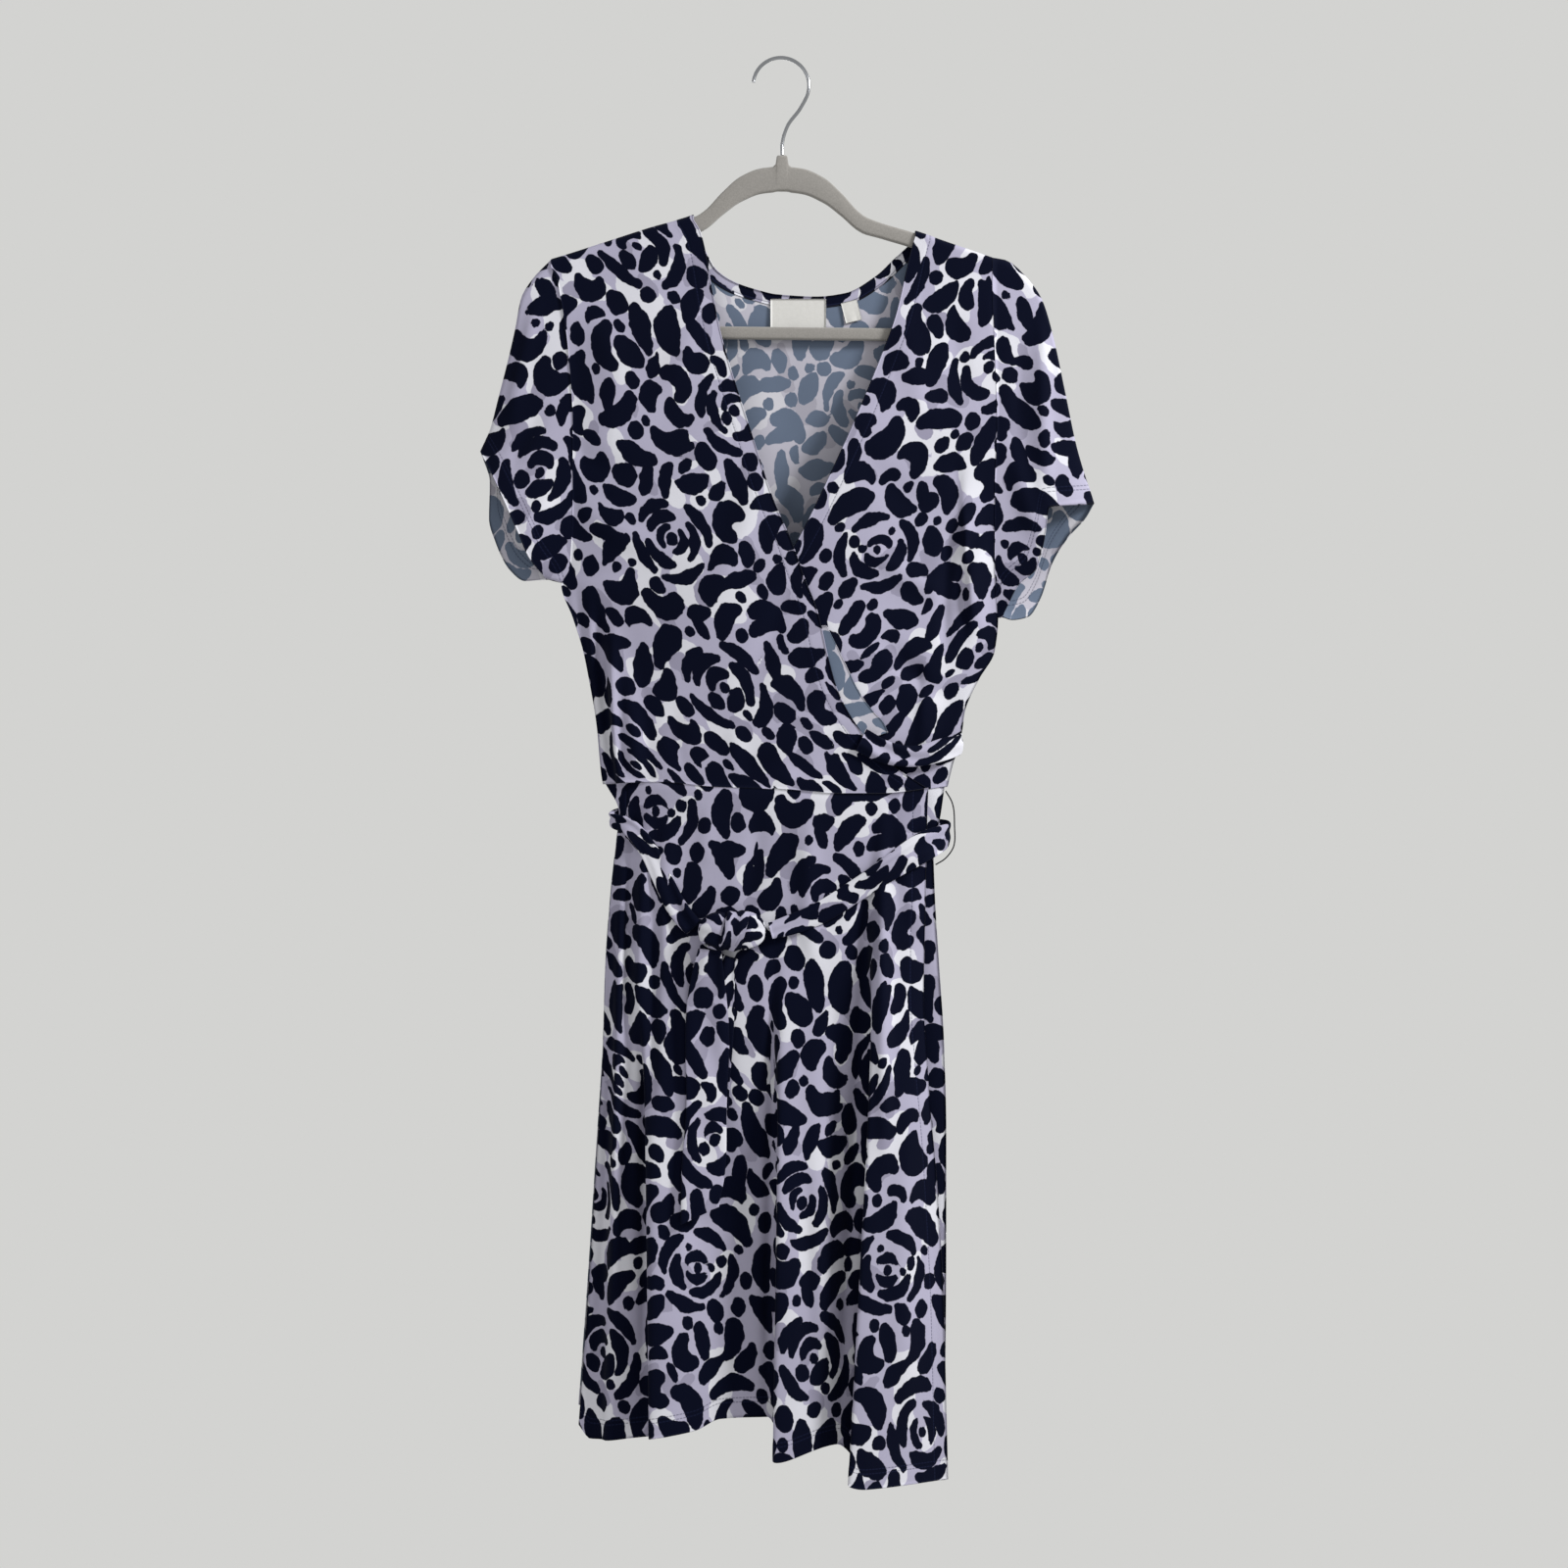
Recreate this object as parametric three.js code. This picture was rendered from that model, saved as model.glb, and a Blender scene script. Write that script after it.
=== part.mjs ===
// A short-sleeved wrap dress of printed jersey, hanging on a slim hanger.
// Millimetres. The origin is where the hook rests on a rail, +Z is up, the dress faces -Y,
// and +X is the viewer's right, which is the wearer's left.
import * as THREE from "three";

// Driving dimensions
const WALL = 1.2; // jersey with its turned edges
const SEAM_GAP = 0.3; // between two pieces at a seam
const SEAM_DEPTH = 0.75; // middle of a wall from the plane where front and back meet
const LAP = 3; // extra depth of the front that laps on top
const BAR_THICKNESS = 6; // hanger body, front to back
const BAR_ROUNDING = 2;
const TURN_RADIUS = 4.7; // middle of the cloth where it turns over the hanger's arm
const SHOULDER_RISE = 1.7; // middle of the cloth above the top of the arm
const HANGER_TILT = 0.011; // the hanger hangs a little low on the viewer's right
const WIRE_RADIUS = 1.6;
const HOOK_RADIUS = 24.2;
const HOOK_CENTRE_X = -1;
const NECK_LEFT_X = -77;
const NECK_RIGHT_X = 116;
const SLEEVE_HEAD_LEFT_X = -200;
const SLEEVE_HEAD_RIGHT_X = 182;
const NECK_BAND_WIDTH = 8;
const WAIST_LEFT_X = -154;
const WAIST_RIGHT_X = 141;
const SKIRT_TOP_Z = -630;
const SKIRT_HEM_Z = -1200;
const UNDER_HEM_Z = -1164; // the layers underneath end higher
const BACK_HEM_Z = -1166;
const TIE_THICKNESS = 2.4; // a turned tube of jersey, pressed flat
const TIE_CLEARANCE = 2.4; // middle of a tie from the middle of the wall that it lies on

// A table with named columns. Between rows a value follows a monotone cubic.
function table(columns, rows) {
  const keys = rows.map((row) => row[0]);
  const rising = keys[keys.length - 1] > keys[0];
  const ordered = rising ? rows : [...rows].reverse();
  const at = (name, key) => {
    const column = columns.indexOf(name);
    const last = ordered.length - 1;
    if (key <= ordered[0][0]) return ordered[0][column];
    if (key >= ordered[last][0]) return ordered[last][column];
    let i = 0;
    while (key > ordered[i + 1][0]) i++;
    const slope = (k) =>
      (ordered[k + 1][column] - ordered[k][column]) / (ordered[k + 1][0] - ordered[k][0]);
    const here = slope(i);
    const tangent = (a, b) => (a * b <= 0 ? 0 : (2 * a * b) / (a + b));
    const start = i > 0 ? tangent(slope(i - 1), here) : here;
    const end = i < last - 1 ? tangent(here, slope(i + 1)) : here;
    const width = ordered[i + 1][0] - ordered[i][0];
    const t = (key - ordered[i][0]) / width;
    return (
      ordered[i][column] * (1 + 2 * t) * (1 - t) ** 2 +
      start * width * t * (1 - t) ** 2 +
      ordered[i + 1][column] * t * t * (3 - 2 * t) -
      end * width * t * t * (1 - t)
    );
  };
  return { at, rows };
}

const lerp = THREE.MathUtils.lerp;
const ramp = (value, start, end) => {
  const t = THREE.MathUtils.clamp((value - start) / (end - start), 0, 1);
  return t * t * (3 - 2 * t);
};
const steps = (count) => Array.from({ length: count + 1 }, (_, i) => i / count);

// Top of the hanger's band against the distance from its middle
const HANGER_TOP = table(
  ["x", "z"],
  [
    [0, -92.5],
    [18, -94.5],
    [36, -102],
    [52, -116],
    [66, -131],
    [74, -136.5],
    [116, -149.6],
    [150, -161],
    [186, -173],
    [202, -178],
  ],
);
const HANGER_BAND = 13; // depth of an arm
const ARCH_BAND = 22; // depth of the arch at the middle
const HANGER_HALF_WIDTH = 193;

const armTop = (x) => HANGER_TOP.at("z", Math.abs(x)) - HANGER_TILT * x;
const shoulderZ = (x) => armTop(x) + SHOULDER_RISE;

// Front view of the bodice: armhole down to the underarm, then the side seam
const BODICE_SIDES = table(
  ["z", "left", "right"],
  [
    [-165, -200, 182],
    [-195, -194, 182],
    [-253, -185, 184],
    [-318, -181, 186],
    [-373, -181, 184],
    [-441, -184, 184],
    [-455, -191, 185],
    [-484, -181, 187],
    [-513, -172, 184],
    [-538, -167, 170],
    [-566, -162, 158],
    [-581, -160, 156],
    [-615, -157, 147],
    [-640, -153, 141],
  ],
);
const UNDERARM_LEFT_Z = -453;
const UNDERARM_RIGHT_Z = -484;

// Depth of the bodice: in the middle of the front and of the back, and at the two armholes
const BODICE_DEPTH = table(
  ["z", "front", "back", "left", "right"],
  [
    [-136, 4.7, 4.7, 4.7, 4.7],
    [-190, 5.2, 5, 4.7, 4.7],
    [-240, 8, 6, 5.5, 5.5],
    [-330, 13, 10, 6.5, 6.5],
    [-400, 15, 13, 5, 6.5],
    [-440, 16, 13, 2.2, 5],
    [-453, 16, 13, 0.75, 4],
    [-484, 16, 13, 0.75, 0.75],
    [-580, 14, 12, 0.75, 0.75],
    [-640, 12, 11, 0.75, 0.75],
  ],
);

// Free edges of the two fronts, shoulder to waist
const OVER_EDGE = table(
  ["z", "x"],
  [
    [-140, -77],
    [-153, -71],
    [-209, -60],
    [-248, -51],
    [-297, -36],
    [-331, -25],
    [-383, -8],
    [-420, 8],
    [-451, 19],
    [-479, 30],
    [-522, 40],
    [-549, 48],
    [-581, 66],
    [-610, 92],
    [-638, 126],
  ],
);
const UNDER_EDGE = table(
  ["z", "x"],
  [
    [-153, 116],
    [-164, 113],
    [-223, 99],
    [-253, 88],
    [-307, 66],
    [-354, 45],
    [-421, 12],
    [-470, -20],
    [-530, -60],
    [-590, -100],
    [-628, -125],
  ],
);

// Back neckline
const BACK_NECK = table(
  ["x", "z"],
  [
    [-77, -141],
    [-74, -150],
    [-65, -169],
    [-57, -182],
    [-40, -193],
    [-22, -199],
    [-5, -203],
    [30, -205],
    [55, -202],
    [82, -187],
    [99, -171],
    [110, -161],
    [116, -154],
  ],
);

// Waist seam and the two skirt outlines
const WAIST = table(
  ["x", "z"],
  [
    [-155, -628],
    [-106, -626],
    [-61, -630],
    [-14, -632],
    [54, -637],
    [85, -637],
    [142, -630],
  ],
);
const SKIRT_SIDES = table(
  ["z", "left", "right", "edge"],
  [
    [-628, -154, 141, 126],
    [-657, -141, 137, 125],
    [-688, -144, 131, 125],
    [-726, -148, 132, 126],
    [-798, -153, 136, 130],
    [-866, -155, 140, 138],
    [-951, -160, 142, 145],
    [-1066, -167, 142, 147],
    [-1200, -176, 141, 147],
  ],
);
const WAIST_SLACK = 0.3; // for the flat facets on the two sides of the curved waist seam
const SKIRT_DEPTH = table(
  ["z", "front", "back"],
  [
    [-630, 12, 11],
    [-750, 12, 10],
    [-900, 14, 13],
    [-1100, 17, 17],
    [-1200, 18, 19],
  ],
);
// Hem of the skirt that laps on top: it dips on the folds and rises between them
const OVER_HEM = table(
  ["x", "z"],
  [
    [-176, -1183],
    [-166, -1194],
    [-112, -1189],
    [-65, -1181],
    [-50, -1172],
    [-12, -1171],
    [2, -1196],
    [20, -1204],
    [52, -1193],
    [66, -1210],
    [100, -1226],
    [147, -1227],
  ],
);

// Folds: where the crest shows at its upper and lower end, how far it stands out, how far it leans
// over to the left, and the widths of its steep left side and its gentle right side
const FOLD_COLUMNS = ["topX", "topZ", "lowX", "lowZ", "depth", "lean", "rise", "fall", "fadeLow"];
const folds = (rows) =>
  rows.map((row) => Object.fromEntries(FOLD_COLUMNS.map((name, i) => [name, row[i]])));
const OVER_SKIRT_FOLDS = folds([
  [-136, -700, -150, -1200, 6, 4, 12, 20, 0],
  [-118, -760, -112, -1200, 18, 20, 16, 56, 0],
  [1, -750, -6, -1200, 24, 24, 19, 50, 0],
  [89, -650, 58, -1200, 34, 30, 22, 78, 0],
]);
const BACK_SKIRT_FOLDS = folds([
  [-112, -680, -120, -1200, 13, 12, 18, 40, 0],
  [-58, -700, -66, -1200, 18, 16, 20, 46, 0],
  [8, -690, 4, -1200, 16, 14, 20, 50, 0],
  [72, -670, 76, -1200, 20, 18, 22, 40, 0],
]);
const OVER_BODICE_FOLDS = folds([
  [-170, -470, -160, -650, 4, 3, 10, 12, 0],
  [-150, -470, -138, -650, 6, 5, 12, 22, 0],
]);
const UNDER_BODICE_FOLDS = folds([
  [158, -330, 166, -520, 6, 4, 12, 16, 60],
  [128, -500, 122, -600, 4, 3, 12, 18, 50],
]);
const BACK_BODICE_FOLDS = folds([
  [-140, -420, -130, -650, 5, 3, 14, 20, 0],
  [130, -430, 122, -650, 5, -3, 18, 14, 0],
  [-60, -460, -56, -630, 4, 2, 16, 18, 70],
  [40, -450, 44, -620, 4, 2, 16, 18, 70],
]);

const bump = (t) => (Math.abs(t) < 1 ? 0.5 * (1 + Math.cos(Math.PI * t)) : 0);
const crestX = (fold, z) =>
  lerp(fold.topX, fold.lowX, (z - fold.topZ) / (fold.lowZ - fold.topZ));
// Share of a fold's full size at height z
function growth(fold, z) {
  const reach = 0.55 * (fold.topZ - fold.lowZ);
  const fade = fold.fadeLow ? ramp(z, fold.lowZ, fold.lowZ + fold.fadeLow) : 1;
  return ramp(fold.topZ - z, 0, reach) * fade;
}
const crestBase = (fold, z) => crestX(fold, z) + fold.lean * growth(fold, z);

// Outward and sideways shift that the folds give the point (x, z)
function foldShift(list, x, z) {
  const shift = { out: 0, x: 0 };
  for (const fold of list) {
    const side = x - crestBase(fold, z);
    const h = bump(side / (side < 0 ? fold.rise : fold.fall)) * growth(fold, z);
    shift.out += fold.depth * h;
    shift.x -= fold.lean * h;
  }
  return shift;
}

const across = (q) => {
  const t = THREE.MathUtils.clamp(q, 0, 1);
  return (4 * t * (1 - t)) ** 0.85;
};

// Depth of the bodice at (x, z), in front ("front") or behind ("back")
function bodiceDepth(face, x, z) {
  const left = BODICE_SIDES.at("left", z);
  const right = BODICE_SIDES.at("right", z);
  const q = (x - left) / (right - left);
  const edge = lerp(BODICE_DEPTH.at("left", z), BODICE_DEPTH.at("right", z), ramp(q, 0, 1));
  return edge + (BODICE_DEPTH.at(face, z) - edge) * across(q);
}
function skirtDepth(face, x, z) {
  const left = SKIRT_SIDES.at("left", z);
  const right = SKIRT_SIDES.at("right", z);
  return SEAM_DEPTH + (SKIRT_DEPTH.at(face, z) - SEAM_DEPTH) * across((x - left) / (right - left));
}

// A closed wall round a grid of middle points. A tube's rows close on themselves.
function wallGeometry(grid, tube = false, thickness = WALL) {
  const rows = grid.length;
  const columns = grid[0].length;
  const pick = (j, i) => grid[j][tube ? (i + columns) % columns : i];
  const faces = [[], []];
  for (let j = 0; j < rows; j++) {
    for (let i = 0; i < columns; i++) {
      const down = new THREE.Vector3().subVectors(
        pick(Math.min(j + 1, rows - 1), i),
        pick(Math.max(j - 1, 0), i),
      );
      const before = tube ? i - 1 : Math.max(i - 1, 0);
      const after = tube ? i + 1 : Math.min(i + 1, columns - 1);
      const along = new THREE.Vector3().subVectors(pick(j, after), pick(j, before));
      const normal = down.cross(along).normalize();
      faces[0].push(pick(j, i).clone().addScaledVector(normal, thickness / 2));
      faces[1].push(pick(j, i).clone().addScaledVector(normal, -thickness / 2));
    }
  }
  const total = rows * columns;
  const positions = [...faces[0], ...faces[1]].flatMap((p) => p.toArray());
  const index = [];
  const quad = (a, b, c, d) => index.push(a, b, c, a, c, d);
  const id = (j, i) => j * columns + ((i + columns) % columns);
  const spans = tube ? columns : columns - 1;
  for (let j = 0; j < rows - 1; j++) {
    for (let i = 0; i < spans; i++) {
      quad(id(j, i), id(j + 1, i), id(j + 1, i + 1), id(j, i + 1));
      quad(total + id(j, i), total + id(j, i + 1), total + id(j + 1, i + 1), total + id(j + 1, i));
    }
  }
  for (let i = 0; i < spans; i++) {
    quad(id(0, i), id(0, i + 1), total + id(0, i + 1), total + id(0, i));
    const last = rows - 1;
    quad(id(last, i + 1), id(last, i), total + id(last, i), total + id(last, i + 1));
  }
  if (!tube) {
    for (let j = 0; j < rows - 1; j++) {
      quad(id(j + 1, 0), id(j, 0), total + id(j, 0), total + id(j + 1, 0));
      const end = columns - 1;
      quad(id(j, end), id(j + 1, end), total + id(j + 1, end), total + id(j, end));
    }
  }
  return closedGeometry(positions, index);
}

// Indexed geometry turned so that its faces point out
function closedGeometry(positions, index) {
  const corner = (n) => new THREE.Vector3().fromArray(positions, 3 * n);
  let volume = 0;
  for (let k = 0; k < index.length; k += 3) {
    volume += corner(index[k]).dot(corner(index[k + 1]).cross(corner(index[k + 2])));
  }
  if (volume < 0) {
    for (let k = 0; k < index.length; k += 3) {
      [index[k], index[k + 1]] = [index[k + 1], index[k]];
    }
  }
  const geometry = new THREE.BufferGeometry();
  geometry.setAttribute("position", new THREE.Float32BufferAttribute(positions, 3));
  geometry.setIndex(index);
  geometry.computeVertexNormals();
  return geometry;
}

// Rows where a front turns over the hanger's arm, from the seam behind the arm to the front
const TURN_ANGLES = [180, 150, 120, 90, 60, 30].map((degrees) => THREE.MathUtils.degToRad(degrees));
const BODICE_ROWS = 18;

function frontBodice({ side, edge, neckX, headX, waistX, lap, list, columns }) {
  const sideName = side < 0 ? "left" : "right";
  const sideTopZ = shoulderZ(headX) - TURN_RADIUS;
  const neckTopZ = shoulderZ(neckX) - TURN_RADIUS;
  const sideLowZ = WAIST.at("z", waistX);
  const edgeLowZ = edge.rows[edge.rows.length - 1][0];
  const point = (u, v) => {
    const sideZ = lerp(sideTopZ, sideLowZ, v);
    const edgeZ = lerp(neckTopZ, edgeLowZ, v);
    const sideX = lerp(headX, BODICE_SIDES.at(sideName, sideZ), ramp(v, 0, 0.03));
    const x = lerp(sideX, edge.at("x", edgeZ), u);
    const straight = lerp(sideZ, edgeZ, u);
    const top = shoulderZ(x) - TURN_RADIUS;
    const low = WAIST.at("z", x);
    const shoulderFit = (top - lerp(sideTopZ, neckTopZ, u)) * (1 - ramp(v, 0, 0.2));
    const waistFit = (low - lerp(sideLowZ, edgeLowZ, u)) * ramp(v, 0.8, 1);
    const z = straight + shoulderFit + waistFit;
    const shift = foldShift(list, x, z);
    const fade = ramp(u, 0, 0.06);
    const extra = lap * ramp(u, 0, 0.25) * ramp(-z, 190, 260);
    return new THREE.Vector3(
      x + shift.x * fade,
      -(bodiceDepth("front", x, z) + extra + shift.out * fade),
      z,
    );
  };
  return turnedGrid(point, columns);
}

// Adds the rows that turn over the arm to the grid of a front
function turnedGrid(point, columns) {
  const first = columns.map((u) => point(u, 0));
  const turn = TURN_ANGLES.map((angle) =>
    first.map(
      (p) =>
        new THREE.Vector3(
          p.x,
          -TURN_RADIUS * Math.cos(angle),
          p.z + TURN_RADIUS * Math.sin(angle),
        ),
    ),
  );
  return [...turn, ...steps(BODICE_ROWS).map((v) => columns.map((u) => point(u, v)))];
}

const OVER_BODICE_GRID = frontBodice({
  side: -1,
  edge: OVER_EDGE,
  neckX: NECK_LEFT_X,
  headX: SLEEVE_HEAD_LEFT_X,
  waistX: WAIST_LEFT_X,
  lap: LAP,
  list: OVER_BODICE_FOLDS,
  columns: steps(24),
});
const UNDER_BODICE_GRID = frontBodice({
  side: 1,
  edge: UNDER_EDGE,
  neckX: NECK_RIGHT_X,
  headX: SLEEVE_HEAD_RIGHT_X,
  waistX: WAIST_RIGHT_X,
  lap: 0,
  list: UNDER_BODICE_FOLDS,
  columns: steps(20),
});

// The back bodice: shoulder, neckline, shoulder along its top
const NECK_STEPS = 12;
const SHOULDER_STEPS = 4;
// Neckline point t of 0 to 1, moved away from the opening by offset
function neckPoint(t, offset) {
  const turn = Math.PI * t;
  const x = lerp(NECK_LEFT_X, NECK_RIGHT_X, 0.5 - 0.5 * Math.cos(turn));
  const slope = BACK_NECK.at("z", x + 0.5) - BACK_NECK.at("z", x - 0.5);
  const away = new THREE.Vector2(slope, -1).normalize();
  return { x: x + away.x * offset, z: BACK_NECK.at("z", x) + away.y * offset };
}
function backTop() {
  const neck = steps(NECK_STEPS).map((t) => neckPoint(t, NECK_BAND_WIDTH + SEAM_GAP));
  const shoulder = (from, to) =>
    steps(SHOULDER_STEPS)
      .slice(0, -1)
      .map((t) => lerp(from, to, t))
      .map((x) => ({ x, z: shoulderZ(x) - TURN_RADIUS - SEAM_GAP }));
  const left = shoulder(SLEEVE_HEAD_LEFT_X, neck[0].x);
  const right = shoulder(SLEEVE_HEAD_RIGHT_X, neck[NECK_STEPS].x).reverse();
  return [...left, ...neck, ...right];
}
function backBodice() {
  const top = backTop();
  const last = top.length - 1;
  const point = (i, v) => {
    const u = (top[i].x - top[0].x) / (top[last].x - top[0].x);
    const lowX = lerp(WAIST_LEFT_X, WAIST_RIGHT_X, u);
    const z = lerp(top[i].z, WAIST.at("z", lowX), v);
    const left = lerp(top[0].x, BODICE_SIDES.at("left", z), ramp(v, 0, 0.03));
    const right = lerp(top[last].x, BODICE_SIDES.at("right", z), ramp(v, 0, 0.03));
    const x = lerp(left, right, u);
    const shift = foldShift(BACK_BODICE_FOLDS, x, z);
    const fade = ramp(u, 0, 0.06) * ramp(1 - u, 0, 0.06);
    return new THREE.Vector3(x + shift.x * fade, bodiceDepth("back", x, z) + shift.out * fade, z);
  };
  return steps(BODICE_ROWS).map((v) => top.map((p, i) => point(i, v)));
}
const BACK_BODICE_GRID = backBodice();

// Neck band: a strip along the neckline, just above the back
const NECK_BAND_ROWS = [0, 0.5, 1];
const NECK_BAND_LIFT = 1.6;
const NECK_BAND_GRID = NECK_BAND_ROWS.map((share) =>
  steps(NECK_STEPS).map((t) => {
    const p = neckPoint(t, share * (NECK_BAND_WIDTH - NECK_BAND_LIFT));
    return new THREE.Vector3(p.x, bodiceDepth("back", p.x, p.z), p.z);
  }),
);

// Sleeves: the line along the top, and the hem from its tip round to the underarm, front and back
const SLEEVES = {
  sleeve_right: {
    side: -1,
    underarmZ: UNDERARM_LEFT_Z,
    outline: table(
      ["s", "x", "z"],
      [
        [0, -200, -171],
        [0.1, -216, -188],
        [0.2, -226, -205],
        [0.33, -231, -231],
        [0.47, -237, -258],
        [0.63, -245, -290],
        [0.8, -253, -321],
        [1, -261, -340],
      ],
    ),
    hem: table(
      ["c", "frontX", "frontZ", "backX", "backZ"],
      [
        [0, -261, -340, -261, -340],
        [0.15, -252, -357, -254, -365],
        [0.35, -242, -378, -255, -396],
        [0.5, -235, -394, -249, -418],
        [0.65, -227, -412, -237, -441],
        [0.8, -219, -431, -223, -451],
        [1, -205, -449, -203, -450],
      ],
    ),
  },
  sleeve_left: {
    side: 1,
    underarmZ: UNDERARM_RIGHT_Z,
    outline: table(
      ["s", "x", "z"],
      [
        [0, 182, -171],
        [0.06, 195, -173.5],
        [0.12, 208, -184],
        [0.24, 225, -207],
        [0.38, 235, -240],
        [0.58, 245, -287],
        [0.78, 255, -335],
        [1, 270, -385],
      ],
    ),
    hem: table(
      ["c", "frontX", "frontZ", "backX", "backZ"],
      [
        [0, 270, -385, 270, -385],
        [0.1, 262, -386, 264, -396],
        [0.25, 248, -387, 249, -413],
        [0.42, 231, -389, 236, -434],
        [0.6, 226, -417, 225, -466],
        [0.75, 220, -441, 214, -482],
        [0.88, 204, -456, 200, -485],
        [1, 192, -480, 191, -483],
      ],
    ),
  },
};
const SLEEVE_ROWS = 7;
const ROOT_SLANT = 0.5; // more room at the top, where the sleeve's wall slants
const SLEEVE_FULLNESS = 11; // depth of the open hem in front of and behind the middle

// The column of a bodice grid that carries the armhole, down to the underarm
function armhole(grid, column, underarmZ) {
  return grid.map((row) => row[column]).filter((p) => p.z >= underarmZ - 1);
}
// Shares of the way from the top of the arm to the underarm along one half of an armhole
function withShare(points, face) {
  const lengths = [0];
  for (let k = 1; k < points.length; k++) {
    lengths.push(lengths[k - 1] + points[k].distanceTo(points[k - 1]));
  }
  const whole = lengths[lengths.length - 1];
  return points.map((p, k) => ({ root: p, c: lengths[k] / whole, face }));
}
function sleeveGrid({ side, underarmZ, outline, hem }) {
  const frontGrid = side < 0 ? OVER_BODICE_GRID : UNDER_BODICE_GRID;
  const backColumn = side < 0 ? 0 : BACK_BODICE_GRID[0].length - 1;
  const halves = {
    front: armhole(frontGrid, 0, underarmZ),
    back: armhole(BACK_BODICE_GRID, backColumn, underarmZ),
  };
  const crown = TURN_ANGLES.findIndex((angle) => angle <= Math.PI / 2);
  const overArm = halves.front.slice(0, crown).reverse();
  const front = withShare(halves.front.slice(crown), "front");
  const back = withShare([halves.front[crown], ...overArm, ...halves.back], "back");
  const around = [...front, ...back.slice(1).reverse()];
  return steps(SLEEVE_ROWS).map((s) =>
    around.map(({ root, c, face }) => {
      const sign = face === "front" ? -1 : 1;
      const clear = SEAM_GAP + ROOT_SLANT * (1 - c) ** 4;
      const start = new THREE.Vector3(root.x + side * clear, root.y, root.z);
      const tip = { x: hem.at(face + "X", c), z: hem.at(face + "Z", c) };
      const openness = Math.max(Math.sin(Math.PI * c), 0) ** 0.8;
      const edgeY = sign * (c === 0 ? 0 : 1 + SLEEVE_FULLNESS * openness);
      const bulge = (1 - c) ** 1.6;
      const dx = outline.at("x", s) - lerp(outline.at("x", 0), outline.at("x", 1), s);
      const dz = outline.at("z", s) - lerp(outline.at("z", 0), outline.at("z", 1), s);
      return new THREE.Vector3(
        lerp(start.x, tip.x, s) + dx * bulge,
        lerp(start.y, edgeY, s),
        lerp(start.z, tip.z, s) + dz * bulge,
      );
    }),
  );
}

// Skirt panels. Columns follow the folds, so that each crest is a column.
function foldedColumns(list, counts) {
  const segments = 2 * list.length + 1;
  const places = [];
  for (let k = 0; k < segments; k++) {
    for (let n = 0; n < counts[k]; n++) places.push(k + n / counts[k]);
  }
  places.push(segments);
  return places;
}
function foldedX(list, place, left, right, z) {
  const knots = [left];
  for (const fold of list) {
    knots.push(crestBase(fold, z) - fold.rise, crestBase(fold, z));
  }
  knots.push(right);
  const k = Math.min(Math.floor(place), knots.length - 2);
  return lerp(knots[k], knots[k + 1], place - k);
}
function skirtGrid({ face, list, counts, rows, leftOf, rightOf, hemOf, extraOf }) {
  const sign = face === "front" ? -1 : 1;
  const places = foldedColumns(list, counts);
  return steps(rows).map((v) =>
    places.map((place, i) => {
      const rowZ = lerp(SKIRT_TOP_Z, SKIRT_HEM_Z, v);
      const left = leftOf(rowZ);
      const right = rightOf(rowZ);
      const x = foldedX(list, place, left, right, rowZ);
      const start = WAIST.at("z", x) - SEAM_GAP - WAIST_SLACK;
      const z = lerp(start, hemOf(x), v);
      const shift = foldShift(list, x, rowZ);
      const q = (x - left) / (right - left);
      const fade = ramp(q, 0, 0.05) * (face === "back" ? ramp(1 - q, 0, 0.05) : 1);
      const depth = skirtDepth(face, x, rowZ) + extraOf(q) + shift.out * fade;
      return new THREE.Vector3(x + shift.x * fade, sign * depth, z);
    }),
  );
}
const OVER_SKIRT_GRID = skirtGrid({
  face: "front",
  list: OVER_SKIRT_FOLDS,
  counts: [2, 2, 2, 4, 6, 4, 5, 5, 6],
  rows: 18,
  leftOf: (z) => SKIRT_SIDES.at("left", z),
  rightOf: (z) => SKIRT_SIDES.at("edge", z),
  hemOf: (x) => OVER_HEM.at("z", x),
  extraOf: (q) => LAP * ramp(q, 0, 0.2) + 4 * ramp(q, 0.3, 1),
});
const UNDER_SKIRT_LEFT = -95;
const UNDER_SKIRT_GRID = skirtGrid({
  face: "front",
  list: [],
  counts: [14],
  rows: 12,
  leftOf: () => UNDER_SKIRT_LEFT,
  rightOf: (z) => SKIRT_SIDES.at("right", z),
  hemOf: () => UNDER_HEM_Z,
  extraOf: () => 0,
});
const BACK_SKIRT_GRID = skirtGrid({
  face: "back",
  list: BACK_SKIRT_FOLDS,
  counts: [2, 4, 3, 4, 4, 4, 4, 4, 3],
  rows: 13,
  leftOf: (z) => SKIRT_SIDES.at("left", z),
  rightOf: (z) => SKIRT_SIDES.at("right", z),
  hemOf: (x) => BACK_HEM_Z + 3 * Math.sin(x / 28),
  extraOf: () => 0,
});

// Middle of the frontmost wall, or of the back wall, at (x, z)
function surfaceY(face, x, z) {
  if (face === "back") {
    const waistZ = WAIST.at("z", x);
    const list = z > waistZ ? BACK_BODICE_FOLDS : BACK_SKIRT_FOLDS;
    const depth = z > waistZ ? bodiceDepth("back", x, z) : skirtDepth("back", x, z);
    return depth + foldShift(list, x, z).out;
  }
  if (z > WAIST.at("z", x)) return -(bodiceDepth("front", x, z) + LAP);
  const left = SKIRT_SIDES.at("left", z);
  const q = (x - left) / (SKIRT_SIDES.at("edge", z) - left);
  const depth = skirtDepth("front", x, z) + LAP * ramp(q, 0, 0.2) + 4 * ramp(q, 0.3, 1);
  return -(depth + foldShift(OVER_SKIRT_FOLDS, x, z).out);
}

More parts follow.
